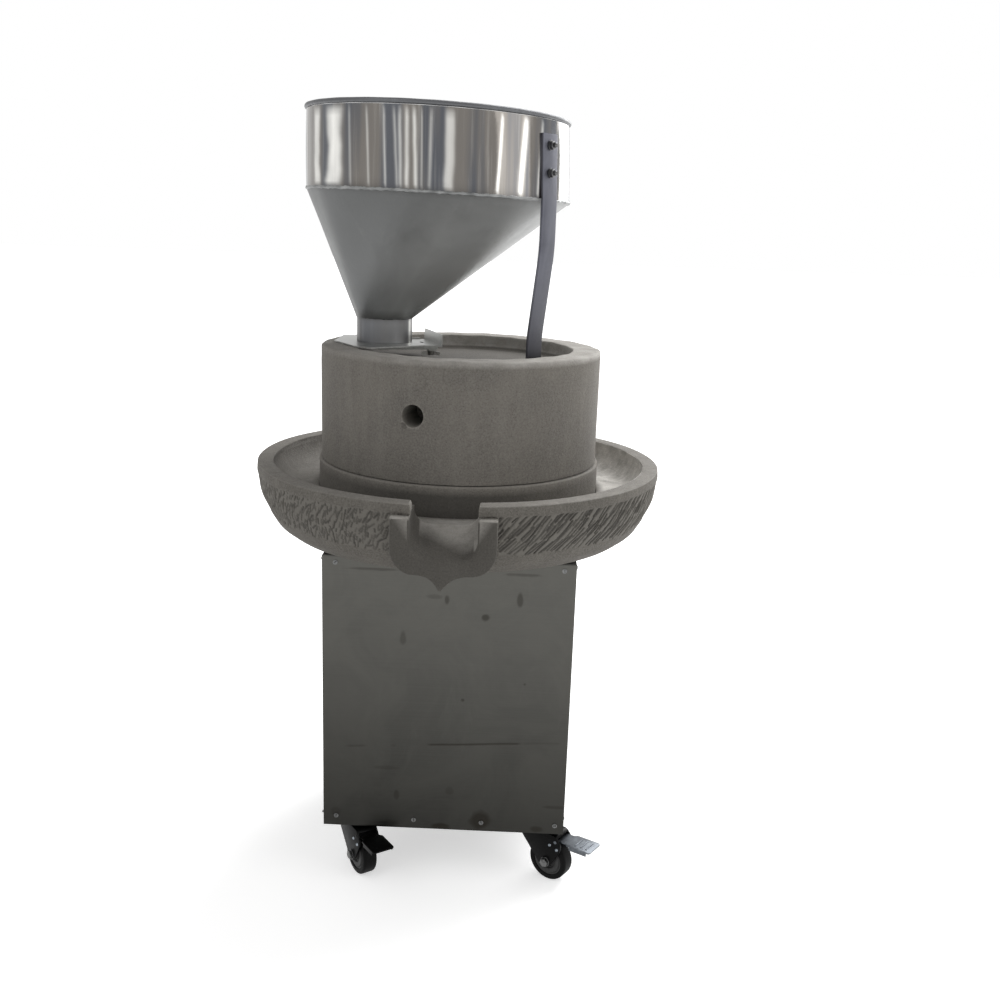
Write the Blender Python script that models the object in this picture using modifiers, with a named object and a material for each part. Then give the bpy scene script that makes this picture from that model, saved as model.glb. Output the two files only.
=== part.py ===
"""Stone flour mill: a runner stone on a bed stone in a round stone tray, with a hopper that turns with
the runner, on a wheeled steel cabinet that holds the gear motor.

Metres, +Z up, front towards -Y. The origin is on the floor, below the middle of the mill's box.
"""

import math

import bmesh
import bpy
from mathutils import Matrix, Vector

# Clearances
GAP = 0.0003              # between pieces that touch
GRIND_GAP = 0.001         # between the two grinding faces
RUNNING_GAP = 0.0005      # round a shaft or pin that turns

# Stones
RUNNER_RADIUS = 0.206
RUNNER_HEIGHT = 0.166
DISH_RIM = 0.043          # width of the flat rim round the dish
DISH_DEPTH = 0.022
STONE_EDGE = 0.003        # worn edge of a stone
EYE_RADIUS = 0.028
LEVER_HOLE_RADIUS = 0.0155
LEVER_HOLE_DEPTH = 0.060
LEVER_HOLE_ABOVE_JOINT = 0.092
LEVER_HOLE_ANGLE = math.radians(-104.7)
BED_RADIUS = 0.210
BED_RISE = 0.043          # grinding face above the tray's floor
BED_SEAT_DEPTH = 0.015    # pocket in the tray that holds the bed stone
FURROWS = 16
FURROW_WIDTH = 0.006
FURROW_DEPTH = 0.003
FURROW_START = 0.125      # distance from the axis to a furrow's inner end
FURROW_END_INSET = 0.007  # from the runner's edge to a furrow's outer end
FURROW_SLANT = math.radians(24)

# Tray
TRAY_RADIUS = 0.300
TRAY_HEIGHT = 0.108
TRAY_FLOOR_DEPTH = 0.040
TRAY_BULGE = 0.001        # the wall is widest a little below the rim
TRAY_RIM = 0.023
TRAY_TROUGH_RADIUS = 0.246
TRAY_FOOT_RADIUS = 0.205
TRAY_BORE = 0.045
SPOUT_WIDTH = 0.137
SPOUT_REACH = 0.308       # from the stones' axis to the spout's front face
SPOUT_ROOT = 0.240
SPOUT_EAR_DROP = 0.015    # from the rim down to the top of the spout's cheeks
SPOUT_CHEEK = 0.041       # straight height of a cheek
SPOUT_BELLY = 0.0345      # height of the rounded part under a cheek
SPOUT_DRIP = 0.0205       # height of the pointed drip under the rounded part
SPOUT_DRIP_HALF = 0.038
SPOUT_TIP_HALF = 0.002
SPOUT_ROOT_SCALE = 0.72   # the spout's underside rises to this share of its height at the root
CHANNEL_WIDTH = 0.0872
CHANNEL_FRONT_DEPTH = 0.069
CHANNEL_CORNER = 0.021
CHANNEL_START = 0.240     # distance from the axis where the channel leaves the trough's floor

# Cabinet
CABINET_WIDTH = 0.356
CABINET_HEIGHT = 0.419
SHEET = 0.0015
ANGLE_LEG = 0.025
ANGLE_WALL = 0.003
BASE_PLATE = 0.003
TOP_PLATE = 0.006
SCREW_HEAD = 0.0042
SCREW_HEAD_HEIGHT = 0.0018
SCREW_INSET = 0.018
LOUVRES = 5
LOUVRE_LENGTH = 0.120
LOUVRE_HEIGHT = 0.005
LOUVRE_PITCH = 0.018
GLAND_INSET = 0.058       # from the cabinet's right side
SWITCH_INSET = 0.053      # from the cabinet's left side

# Casters
CASTER_HEIGHT = 0.088
CASTER_SIDE_INSET = 0.038     # from the cabinet's left or right side to the swivel axis
CASTER_INSET = 0.045      # from the cabinet's front or back to the swivel axis
WHEEL_RADIUS = 0.032
WHEEL_WIDTH = 0.024
RIM_RADIUS = 0.0235
RING_RADIUS = 0.020
AXLE_RADIUS = 0.004
TRAIL = 0.028
FORK_WALL = 0.0025
FORK_SIDE_GAP = 0.002
CASTER_PLATE = 0.068
CASTER_PLATE_THICK = 0.003
RACEWAY_RADIUS = 0.022
RACEWAY_HEIGHT = 0.005
KINGPIN_RADIUS = 0.006
FORK_HEAD = 0.0035
CASTER_BOLT_RADIUS = 0.0035
PEDAL_LENGTH = 0.059
PEDAL_WIDTH = 0.034
PEDAL_SHEET = 0.002
PEDAL_PIVOT_RADIUS = 0.0025
PEDAL_RISE = math.radians(2)  # the raised pedal's slope

# Hopper
HOPPER_X = -0.0386        # middle of the barrel's lower edge, from the stones' axis
HOPPER_TOP_X = -0.0404
BARREL_LOWER_RADIUS = 0.1864
BARREL_UPPER_RADIUS = 0.1836
BARREL_JOINT_HEIGHT = 0.3797  # barrel's lower edge above the grinding faces
BARREL_HEIGHT = 0.1037
BARREL_LOWER_TILT = math.radians(1.43)
BARREL_UPPER_TILT = math.radians(1.59)
HOPPER_SHEET = 0.0012
RIM_BEAD = 0.0035
OUTLET_X = -0.1155
OUTLET_RADIUS = 0.0395
OUTLET_HEIGHT = 0.035
FEED_PLATE_THICK = 0.002
FEED_HOLE_RADIUS = 0.030
FEED_PLATE_LEFT = 0.072   # reaches from the outlet's middle to the plate's edges
FEED_PLATE_RIGHT = 0.047
FEED_PLATE_NEAR = 0.095
FEED_PLATE_FAR = 0.080
GATE_ANGLE = math.radians(20)
GATE_HALF = 0.050
GATE_END = 0.038
GATE_LENGTH = 0.074
GATE_THICK = 0.0015
GATE_TAB = 0.018
GATE_TAB_LEAN = math.radians(3)
GUIDE_START = -0.020
GUIDE_END = 0.068
GUIDE_WALL = 0.004
GUIDE_LIP = 0.0016
WING_SCREW_SIDE = 0.043   # from the gate's middle line, towards the front
WING_SCREW_RADIUS = 0.003

# Strap
STRAP_WIDTH = 0.034
STRAP_THICK = 0.004
STRAP_ANGLE = math.radians(-34)
STRAP_TOP_BELOW_RIM = 0.0185
STRAP_BEND_ABOVE_STONE = 0.143
STRAP_FOOT_BEND_ABOVE_STONE = 0.025
STRAP_FOOT_REACH = 0.1723     # from the hopper's middle line to the strap's foot
STRAP_FOOT_LENGTH = 0.034
STRAP_BOLT_DROPS = (0.0331, 0.0687)
BOLT_RADIUS = 0.003
BOLT_HEAD_RADIUS = 0.0057
BOLT_HEAD_HEIGHT = 0.0045
BOLT_END = 0.010          # stands out past the nut

# Drive
SHAFT_RADIUS = 0.015
OUTPUT_SHAFT_RADIUS = 0.0175
COUPLING_RADIUS = 0.032
COUPLING_LENGTH = 0.055
BEARING_RADIUS = 0.031
BEARING_WIDTH = 0.016
BEARING_WALL = 0.009
BEARING_FLANGE_RADIUS = 0.055
BEARING_FLANGE = 0.010
DRIVER_HUB_RADIUS = 0.028
DRIVER_HUB_HEIGHT = 0.030
DRIVER_REACH = 0.080
DRIVER_ARM_WIDTH = 0.024
DRIVER_ARM_TAPER = 0.003
DRIVER_ARM_HEIGHT = 0.010
DRIVER_STUD_RADIUS = 0.005
DRIVER_STUD_CIRCLE = 0.062
DRIVER_STUD_LENGTH = 0.050
REDUCER_FLANGE_RADIUS = 0.095
REDUCER_FLANGE = 0.012
REDUCER_RADIUS = 0.076
REDUCER_HEIGHT = 0.100
REDUCER_BOLT_CIRCLE = 0.084
REDUCER_BOLTS = 6
REDUCER_BOLT_RADIUS = 0.004
MOTOR_RADIUS = 0.058
MOTOR_FIN = 0.006
MOTOR_FINS = 16
MOTOR_LENGTH = 0.170
MOTOR_SHAFT_RADIUS = 0.007
END_SHIELD = 0.012
FAN_COVER_LENGTH = 0.045
FAN_COVER_WALL = 0.0015
FAN_BLADES = 6
FAN_SLOTS = 8
TERMINAL_BOX = (0.046, 0.070, 0.070)

# Places that follow from the sizes above
AXIS_Y = (SPOUT_REACH - TRAY_RADIUS - TRAY_BULGE) / 2
HALF = CABINET_WIDTH / 2
CABINET_BOTTOM = CASTER_HEIGHT
CABINET_TOP = CABINET_BOTTOM + CABINET_HEIGHT
TRAY_BOTTOM = CABINET_TOP + GAP
TRAY_TOP = TRAY_BOTTOM + TRAY_HEIGHT
TRAY_FLOOR = TRAY_TOP - TRAY_FLOOR_DEPTH
BED_BOTTOM = TRAY_FLOOR - BED_SEAT_DEPTH + GAP
BED_TOP = TRAY_FLOOR + BED_RISE
RUNNER_BOTTOM = BED_TOP + GRIND_GAP
RUNNER_TOP = RUNNER_BOTTOM + RUNNER_HEIGHT
DISH_RADIUS = RUNNER_RADIUS - DISH_RIM
DISH_FLOOR = RUNNER_TOP - DISH_DEPTH
BARREL_BOTTOM = BED_TOP + BARREL_JOINT_HEIGHT
BARREL_TOP = BARREL_BOTTOM + BARREL_HEIGHT
FEED_PLATE_BOTTOM = RUNNER_TOP + GAP
FEED_PLATE_TOP = FEED_PLATE_BOTTOM + FEED_PLATE_THICK
OUTLET_BOTTOM = FEED_PLATE_TOP + GAP
OUTLET_TOP = OUTLET_BOTTOM + OUTLET_HEIGHT
TOP_PLATE_BOTTOM = CABINET_TOP - TOP_PLATE
REDUCER_TOP = TOP_PLATE_BOTTOM - GAP
REDUCER_BOTTOM = REDUCER_TOP - REDUCER_HEIGHT
MOTOR_TOP = REDUCER_BOTTOM - GAP
MOTOR_BOTTOM = MOTOR_TOP - MOTOR_LENGTH
SHIELD_TOP = MOTOR_BOTTOM - GAP
SHIELD_BOTTOM = SHIELD_TOP - END_SHIELD

SEGMENTS = 48             # round the stones
HOPPER_SEGMENTS = 40
HOUSING_SEGMENTS = 24
SMALL_SEGMENTS = 12
BOLT_SEGMENTS = 8
SMOOTH_ANGLE = math.radians(35)

STONE = ("stone", (0.13, 0.12, 0.105), 0.9, 0.0)
TRAY_STONE = ("tray_stone", (0.11, 0.10, 0.088), 0.9, 0.0)
STEEL = ("brushed_steel", (0.11, 0.11, 0.10), 0.4, 0.9)
POLISHED = ("polished_steel", (0.62, 0.61, 0.58), 0.12, 1.0)
CONE_STEEL = ("dull_steel", (0.17, 0.175, 0.17), 0.5, 0.8)
STRAP_STEEL = ("strap_steel", (0.12, 0.12, 0.15), 0.45, 0.7)
FRAME_PAINT = ("frame_paint", (0.10, 0.10, 0.10), 0.6, 0.2)
CAST = ("cast_iron", (0.12, 0.14, 0.16), 0.6, 0.4)
BRIGHT = ("bright_steel", (0.5, 0.5, 0.5), 0.3, 1.0)
BLACK_PAINT = ("black_paint", (0.012, 0.012, 0.012), 0.3, 0.2)
RUBBER = ("tyre_rubber", (0.02, 0.02, 0.02), 0.6, 0.0)
RIM_GREY = ("rim_grey", (0.06, 0.06, 0.06), 0.5, 0.0)
ZINC = ("zinc", (0.45, 0.50, 0.55), 0.3, 1.0)
PLASTIC = ("black_plastic", (0.02, 0.02, 0.02), 0.5, 0.0)


def clear_scene():
    for obj in list(bpy.data.objects):
        bpy.data.objects.remove(obj)
    for name in ("stone_flour_mill", "cutters"):
        bpy.context.scene.collection.children.link(bpy.data.collections.new(name))


def material(spec):
    name, colour, roughness, metallic = spec
    found = bpy.data.materials.get(name)
    if found:
        return found
    made = bpy.data.materials.new(name)
    made.use_nodes = True
    shader = made.node_tree.nodes["Principled BSDF"]
    shader.inputs["Base Color"].default_value = (*colour, 1.0)
    shader.inputs["Roughness"].default_value = roughness
    shader.inputs["Metallic"].default_value = metallic
    return made


def place(name, mesh, spec, at=(0, 0, 0), parent=None):
    """A sub-part from a mesh, or a cutter where spec is None.

    Places are from the stones' axis unless it has a parent.
    """
    obj = bpy.data.objects.new(name, mesh)
    if spec is None:
        obj.hide_render = True
        obj.display_type = "WIRE"
        bpy.data.collections["cutters"].objects.link(obj)
    else:
        mesh.materials.append(material(spec))
        bpy.data.collections["stone_flour_mill"].objects.link(obj)
    obj.parent = parent
    obj.location = Vector(at) if parent else Vector(at) + Vector((0, AXIS_Y, 0))
    return obj


def mesh_from(build):
    """A mesh made by a function that fills a bmesh."""
    bm = bmesh.new()
    build(bm)
    mesh = bpy.data.meshes.new("mesh")
    bm.to_mesh(mesh)
    bm.free()
    return mesh


def add_box(bm, low, high, turn=None):
    size = [h - l for l, h in zip(low, high)]
    middle = [(h + l) / 2 for l, h in zip(low, high)]
    move = Matrix.Translation(middle) @ Matrix.Diagonal((*size, 1))
    return bmesh.ops.create_cube(bm, size=1, matrix=(turn @ move) if turn else move)


def box(name, low, high, spec, **options):
    return place(name, mesh_from(lambda bm: add_box(bm, low, high)), spec, **options)


def add_rod(bm, start, end, radius, segments=SMALL_SEGMENTS, end_radius=None):
    start, end = Vector(start), Vector(end)
    line = end - start
    turn = line.to_track_quat("Z", "Y").to_matrix().to_4x4()
    bmesh.ops.create_cone(
        bm, cap_ends=True, segments=segments, radius1=radius, radius2=end_radius if end_radius else radius,
        depth=line.length, matrix=Matrix.Translation((start + end) / 2) @ turn)


def rod(name, start, end, radius, spec, segments=SMALL_SEGMENTS, **options):
    return place(name, mesh_from(lambda bm: add_rod(bm, start, end, radius, segments)), spec, **options)


def turned(name, profile, spec, segments=SEGMENTS, closed=True, **options):
    """A profile of (radius, height) points turned round Z. Its outer side runs from top to bottom."""
    mesh = bpy.data.meshes.new(name)
    last = len(profile) if closed else len(profile) - 1
    edges = [(i, (i + 1) % len(profile)) for i in range(last)]
    mesh.from_pydata([(r, 0, z) for r, z in profile], edges, [])
    obj = place(name, mesh, spec, **options)
    screw = obj.modifiers.new("turn", "SCREW")
    screw.steps = segments
    screw.render_steps = segments
    screw.use_merge_vertices = True
    screw.merge_threshold = 0.00001
    screw.use_smooth_shade = False
    return obj


def slab(name, outlines, low, high, spec, turn=None, move=None, **options):
    """Flat outlines filled and extruded along their own Z from low to high, then turned."""
    curve = bpy.data.curves.new(name, "CURVE")
    curve.dimensions = "2D"
    curve.fill_mode = "BOTH"
    curve.extrude = (high - low) / 2
    for outline in outlines:
        spline = curve.splines.new("POLY")
        spline.points.add(len(outline) - 1)
        for point, (x, y) in zip(spline.points, outline):
            point.co = (x, y, 0, 1)
        spline.use_cyclic_u = True
    helper = bpy.data.objects.new(name + "_outline", curve)
    bpy.context.scene.collection.objects.link(helper)
    bpy.context.view_layer.update()
    mesh = bpy.data.meshes.new_from_object(helper.evaluated_get(bpy.context.evaluated_depsgraph_get()))
    bpy.data.objects.remove(helper)
    bm = bmesh.new()
    bm.from_mesh(mesh)
    bmesh.ops.remove_doubles(bm, verts=bm.verts, dist=0.000001)
    bmesh.ops.translate(bm, verts=bm.verts, vec=(0, 0, (low + high) / 2))
    if turn:
        bmesh.ops.transform(bm, verts=bm.verts, matrix=turn)
    if move:
        for vertex in bm.verts:
            vertex.co = move(vertex.co)
    bmesh.ops.recalc_face_normals(bm, faces=bm.faces)
    bm.to_mesh(mesh)
    bm.free()
    mesh.materials.clear()
    return place(name, mesh, spec, **options)


def combine(obj, other, operation="DIFFERENCE"):
    modifier = obj.modifiers.new(operation.lower(), "BOOLEAN")
    modifier.operation = operation
    modifier.solver = "EXACT"
    modifier.object = other
    return obj


def arc(centre, radii, start, end, steps):
    """Points on an ellipse's arc, angles in degrees."""
    angles = [math.radians(start + (end - start) * i / steps) for i in range(steps + 1)]
    return [(centre[0] + radii[0] * math.cos(a), centre[1] + radii[1] * math.sin(a)) for a in angles]


def bezier(points, steps):
    """Points on one cubic curve, without its first point."""
    found = []
    for i in range(1, steps + 1):
        t = i / steps
        weights = ((1 - t) ** 3, 3 * t * (1 - t) ** 2, 3 * t * t * (1 - t), t ** 3)
        found.append(tuple(sum(w * p[axis] for w, p in zip(weights, points)) for axis in (0, 1)))
    return found


def mirrored(half):
    """A whole outline from its right half, which runs from top to bottom."""
    return half + [(-x, y) for x, y in reversed(half) if x > 0]


def empty(name, at, turn=0.0, parent=None):
    made = bpy.data.objects.new(name, None)
    bpy.data.collections["stone_flour_mill"].objects.link(made)
    made.parent = parent
    made.location = Vector(at) if parent else Vector(at) + Vector((0, AXIS_Y, 0))
    made.rotation_euler = (0, 0, turn)
    bpy.context.view_layer.update()
    return made


# Tray


def spout_outline():
    top = TRAY_TOP - SPOUT_EAR_DROP
    half = SPOUT_WIDTH / 2
    shoulder = top - SPOUT_CHEEK
    belly = shoulder - SPOUT_BELLY
    tip = belly - SPOUT_DRIP
    outline = [(half, top)]
    outline += arc((SPOUT_DRIP_HALF, shoulder), (half - SPOUT_DRIP_HALF, SPOUT_BELLY), 0, -90, 6)
    outline += bezier(
        [(SPOUT_DRIP_HALF, belly), (SPOUT_DRIP_HALF * 0.45, belly),
         (SPOUT_DRIP_HALF * 0.2, belly - SPOUT_DRIP * 0.5), (SPOUT_TIP_HALF, tip)], 6)
    return mirrored(outline)


def channel_outline():
    half = CHANNEL_WIDTH / 2
    bottom = TRAY_TOP - CHANNEL_FRONT_DEPTH
    above = TRAY_TOP + 0.03
    return mirrored([(half, above)] + arc((half - CHANNEL_CORNER, bottom + CHANNEL_CORNER),
                                          (CHANNEL_CORNER, CHANNEL_CORNER), 0, -90, 6))


def tray_profile():
    radius = TRAY_RADIUS
    top = TRAY_TOP
    inner = radius - TRAY_RIM
    wall_foot = TRAY_TROUGH_RADIUS
    floor = TRAY_FLOOR
    seat = BED_RADIUS + GAP
    outside = [(inner, top), (radius - 0.003, top), (radius, top - 0.003), (radius + TRAY_BULGE, top - 0.012),
               (radius - 0.003, top - 0.044), (radius - 0.017, top - 0.072), (radius - 0.026, top - 0.087),
               (TRAY_FOOT_RADIUS, TRAY_BOTTOM)]
    middle = [(TRAY_BORE, TRAY_BOTTOM), (TRAY_BORE, floor - BED_SEAT_DEPTH), (seat, floor - BED_SEAT_DEPTH),
              (seat, floor)]
    bowl = arc((wall_foot, top), (inner - wall_foot, top - floor), -90, 0, 5)[:-1]
    return outside + middle + bowl


def tray():
    obj = turned("stone_tray", tray_profile(), TRAY_STONE)
    upright = Matrix.Rotation(math.radians(90), 4, "X")
    top = TRAY_TOP - SPOUT_EAR_DROP

    def raise_root(point):
        share = (point.y + SPOUT_REACH) / (SPOUT_REACH - SPOUT_ROOT)
        scale = 1 + (SPOUT_ROOT_SCALE - 1) * share
        return Vector((point.x, point.y, top + (point.z - top) * scale))

    spout = slab("spout_block", [spout_outline()], SPOUT_ROOT, SPOUT_REACH, None, turn=upright,
                 move=raise_root)
    combine(obj, spout, "UNION")
    fall = (CHANNEL_FRONT_DEPTH - TRAY_FLOOR_DEPTH) / (SPOUT_REACH - CHANNEL_START)
    before = SPOUT_REACH + 0.02
    after = BED_RADIUS + 0.004

    def slope(point):
        return Vector((point.x, point.y, point.z + (point.y + SPOUT_REACH) * fall))

    channel = slab("spout_channel", [channel_outline()], after, before, None, turn=upright, move=slope)
    return combine(obj, channel)


# Stones


def furrows(name, face):
    """Cutters for the slanted furrows of a grinding face at this height, closed at the stone's edge."""
    end = RUNNER_RADIUS - FURROW_END_INSET
    offset = FURROW_START * math.sin(FURROW_SLANT)
    length = math.sqrt(end ** 2 - offset ** 2) - FURROW_START * math.cos(FURROW_SLANT)

    def build(bm):
        for i in range(FURROWS):
            turn = Matrix.Rotation(math.tau * (i + 0.5) / FURROWS, 4, "Z")
            slant = Matrix.Translation((FURROW_START, 0, 0)) @ Matrix.Rotation(FURROW_SLANT, 4, "Z")
            add_box(bm, (0, -FURROW_WIDTH / 2, face - FURROW_DEPTH),
                    (length, FURROW_WIDTH / 2, face + FURROW_DEPTH), turn @ slant)

    return place(name, mesh_from(build), None)


def bed_stone():
    edge = STONE_EDGE
    bore = BEARING_RADIUS + BEARING_WALL + GAP
    flange = BEARING_FLANGE_RADIUS + GAP
    flange_top = BED_BOTTOM + BEARING_FLANGE + GAP
    profile = [(bore, BED_TOP), (BED_RADIUS - edge, BED_TOP), (BED_RADIUS, BED_TOP - edge),
               (BED_RADIUS, BED_BOTTOM), (flange, BED_BOTTOM), (flange, flange_top), (bore, flange_top)]
    obj = turned("bed_stone", profile, STONE)
    return combine(obj, furrows("bed_furrows", BED_TOP))


def driver_outline(margin):
    """The driver plate's cross of tapering arms, seen from above, grown by a margin."""
    reach = DRIVER_REACH + margin
    tip = DRIVER_ARM_WIDTH / 2 + margin
    root = tip + DRIVER_ARM_TAPER
    arm = [(reach, -tip), (reach, tip), (root, root)]
    outline = []
    for i in range(4):
        c, s = round(math.cos(i * math.pi / 2)), round(math.sin(i * math.pi / 2))
        outline += [(c * x - s * y, s * x + c * y) for x, y in arm]
    return outline


def stud_top():
    return RUNNER_BOTTOM + DRIVER_STUD_LENGTH


def stud_places():
    return [(DRIVER_STUD_CIRCLE * math.cos(a), DRIVER_STUD_CIRCLE * math.sin(a))
            for a in (0, math.pi / 2, math.pi, math.pi * 1.5)]


def runner_stone():
    edge = STONE_EDGE
    bore = DRIVER_HUB_RADIUS + RUNNING_GAP
    bore_top = RUNNER_BOTTOM + DRIVER_HUB_HEIGHT + GAP
    profile = [(0, DISH_FLOOR)]
    profile += arc((DISH_RADIUS - 0.012, DISH_FLOOR + 0.012), (0.012, 0.012), -90, 0, 4)
    profile += [(DISH_RADIUS + 0.001, RUNNER_TOP), (RUNNER_RADIUS - edge, RUNNER_TOP),
                (RUNNER_RADIUS, RUNNER_TOP - edge), (RUNNER_RADIUS, RUNNER_BOTTOM + 0.001),
                (RUNNER_RADIUS - 0.001, RUNNER_BOTTOM), (bore, RUNNER_BOTTOM), (bore, bore_top),
                (0, bore_top)]
    obj = turned("runner_stone", profile, STONE, closed=False)
    eye = rod("feed_eye", (OUTLET_X, 0, RUNNER_BOTTOM - 0.01), (OUTLET_X, 0, RUNNER_TOP), EYE_RADIUS, None,
              HOUSING_SEGMENTS)
    combine(obj, eye)
    out = Vector((math.cos(LEVER_HOLE_ANGLE), math.sin(LEVER_HOLE_ANGLE), 0))
    middle = Vector((0, 0, BED_TOP + LEVER_HOLE_ABOVE_JOINT))
    lever = rod("lever_hole", middle + out * (RUNNER_RADIUS - LEVER_HOLE_DEPTH),
                middle + out * (RUNNER_RADIUS + 0.02), LEVER_HOLE_RADIUS, None, 16)
    combine(obj, lever)
    pocket = slab("driver_pocket", [driver_outline(RUNNING_GAP)], RUNNER_BOTTOM - 0.01,
                  RUNNER_BOTTOM + DRIVER_ARM_HEIGHT + GAP, None)
    combine(obj, pocket)
    hole_top = stud_top() + 0.002

    def stud_holes(bm):
        for x, y in stud_places():
            add_rod(bm, (x, y, RUNNER_BOTTOM), (x, y, hole_top), DRIVER_STUD_RADIUS + GAP, BOLT_SEGMENTS)

    combine(obj, place("stud_holes", mesh_from(stud_holes), None))
    anchor = strap_foot_bolt_place()
    anchor_hole = rod("anchor_hole", anchor + Vector((0, 0, -0.03)), anchor + Vector((0, 0, 0.02)),
                      BOLT_RADIUS + GAP, None, BOLT_SEGMENTS)
    combine(obj, anchor_hole)
    return combine(obj, furrows("runner_furrows", RUNNER_BOTTOM))


# Drive


def driver_plate():
    """A cross let into the runner, with a hub for the shaft and studs set into the stone above it."""
    low = RUNNER_BOTTOM + GAP
    hub_top = RUNNER_BOTTOM + DRIVER_HUB_HEIGHT
    obj = slab("driver_plate", [driver_outline(0)], low, RUNNER_BOTTOM + DRIVER_ARM_HEIGHT, CAST)
    hub = rod("driver_hub", (0, 0, low + 0.002), (0, 0, hub_top), DRIVER_HUB_RADIUS, None, 24)
    combine(obj, hub, "UNION")
    combine(obj, rod("driver_bore", (0, 0, low - 0.01), (0, 0, driver_bore_top()), SHAFT_RADIUS + GAP, None))
    top = stud_top()
    for i, (x, y) in enumerate(stud_places()):
        stud = rod(f"driver_stud_{i}", (x, y, low + 0.002), (x, y, top), DRIVER_STUD_RADIUS, None,
                   BOLT_SEGMENTS)
        combine(obj, stud, "UNION")
    return obj


def driver_bore_top():
    return RUNNER_BOTTOM + DRIVER_HUB_HEIGHT - 0.004


def shafts():
    driver_end = driver_bore_top() - GAP
    coupling_low = TOP_PLATE_BOTTOM + RUNNING_GAP
    coupling_high = coupling_low + COUPLING_LENGTH
    meet = (coupling_low + coupling_high) / 2
    neck = BED_BOTTOM + 0.001
    profile = [(0, driver_end), (SHAFT_RADIUS, driver_end), (SHAFT_RADIUS, neck),
               (OUTPUT_SHAFT_RADIUS, neck - 0.002), (OUTPUT_SHAFT_RADIUS, meet + GAP), (0, meet + GAP)]
    turned("main_shaft", profile, BRIGHT, SMALL_SEGMENTS, closed=False)
    bore = OUTPUT_SHAFT_RADIUS + GAP
    edge = 0.002
    profile = [(bore, coupling_high), (COUPLING_RADIUS - edge, coupling_high),
               (COUPLING_RADIUS, coupling_high - edge), (COUPLING_RADIUS, coupling_low + edge),
               (COUPLING_RADIUS - edge, coupling_low), (bore, coupling_low)]
    turned("shaft_coupling", profile, CAST, 24)
    low = REDUCER_TOP - 0.050
    rod("output_shaft", (0, 0, low), (0, 0, meet - GAP), OUTPUT_SHAFT_RADIUS, BRIGHT)


def bearing_parts():
    low = BED_BOTTOM
    high = BED_TOP - 0.005
    outer = BEARING_RADIUS + BEARING_WALL
    seat = BEARING_RADIUS + GAP
    lip = BEARING_RADIUS - 0.006
    shoulder = high - BEARING_WIDTH - 2 * GAP
    profile = [(seat, high), (outer, high), (outer, low + BEARING_FLANGE),
               (BEARING_FLANGE_RADIUS, low + BEARING_FLANGE), (BEARING_FLANGE_RADIUS, low), (lip, low),
               (lip, shoulder), (seat, shoulder)]
    turned("bearing_housing", profile, CAST, 24)
    bore = SHAFT_RADIUS + GAP
    bottom = shoulder + GAP
    top = bottom + BEARING_WIDTH
    groove = 0.0015
    inner_race = SHAFT_RADIUS + 0.005
    outer_race = BEARING_RADIUS - 0.005
    profile = [(bore, top), (inner_race, top), (inner_race, top - groove), (outer_race, top - groove),
               (outer_race, top), (BEARING_RADIUS, top), (BEARING_RADIUS, bottom), (bore, bottom)]
    turned("main_bearing", profile, BRIGHT, 20)


def reducer():
    flange = REDUCER_FLANGE_RADIUS
    body = REDUCER_RADIUS
    top = REDUCER_TOP
    bottom = REDUCER_BOTTOM
    bore = OUTPUT_SHAFT_RADIUS + RUNNING_GAP
    motor_bore = MOTOR_SHAFT_RADIUS + RUNNING_GAP
    under_flange = top - REDUCER_FLANGE
    profile = [(0, top - 0.052), (bore, top - 0.052), (bore, top), (flange, top), (flange, under_flange),
               (body - 0.008, under_flange - 0.004), (body - 0.008, top - 0.040), (body, top - 0.044),
               (body, bottom + 0.014), (body + 0.006, bottom + 0.010), (body + 0.006, bottom),
               (motor_bore, bottom), (motor_bore, bottom + 0.022), (0, bottom + 0.022)]
    obj = turned("reducer_housing", profile, CAST, HOUSING_SEGMENTS, closed=False)

    def ribs(bm):
        for i in range(REDUCER_BOLTS):
            turn = Matrix.Rotation(math.tau * (i + 0.5) / REDUCER_BOLTS, 4, "Z")
            add_box(bm, (body - 0.020, -0.003, top - 0.050),
                    (body + 0.010, 0.003, under_flange + 0.002), turn)

    combine(obj, place("reducer_ribs", mesh_from(ribs), None), "UNION")
    for i, (x, y) in enumerate(reducer_bolt_places()):
        shank = rod(f"reducer_shank_{i}", (x, y, under_flange - 0.002), (x, y, CABINET_TOP - 0.001),
                    REDUCER_BOLT_RADIUS, None, BOLT_SEGMENTS)
        combine(obj, shank, "UNION")
        head = rod(f"reducer_head_{i}", (x, y, under_flange - 0.005), (x, y, under_flange + 0.001),
                   REDUCER_BOLT_RADIUS * 1.8, None, 6)
        combine(obj, head, "UNION")
    return obj


def reducer_bolt_places():
    return [(REDUCER_BOLT_CIRCLE * math.cos(math.tau * i / REDUCER_BOLTS),
             REDUCER_BOLT_CIRCLE * math.sin(math.tau * i / REDUCER_BOLTS)) for i in range(REDUCER_BOLTS)]


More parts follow.
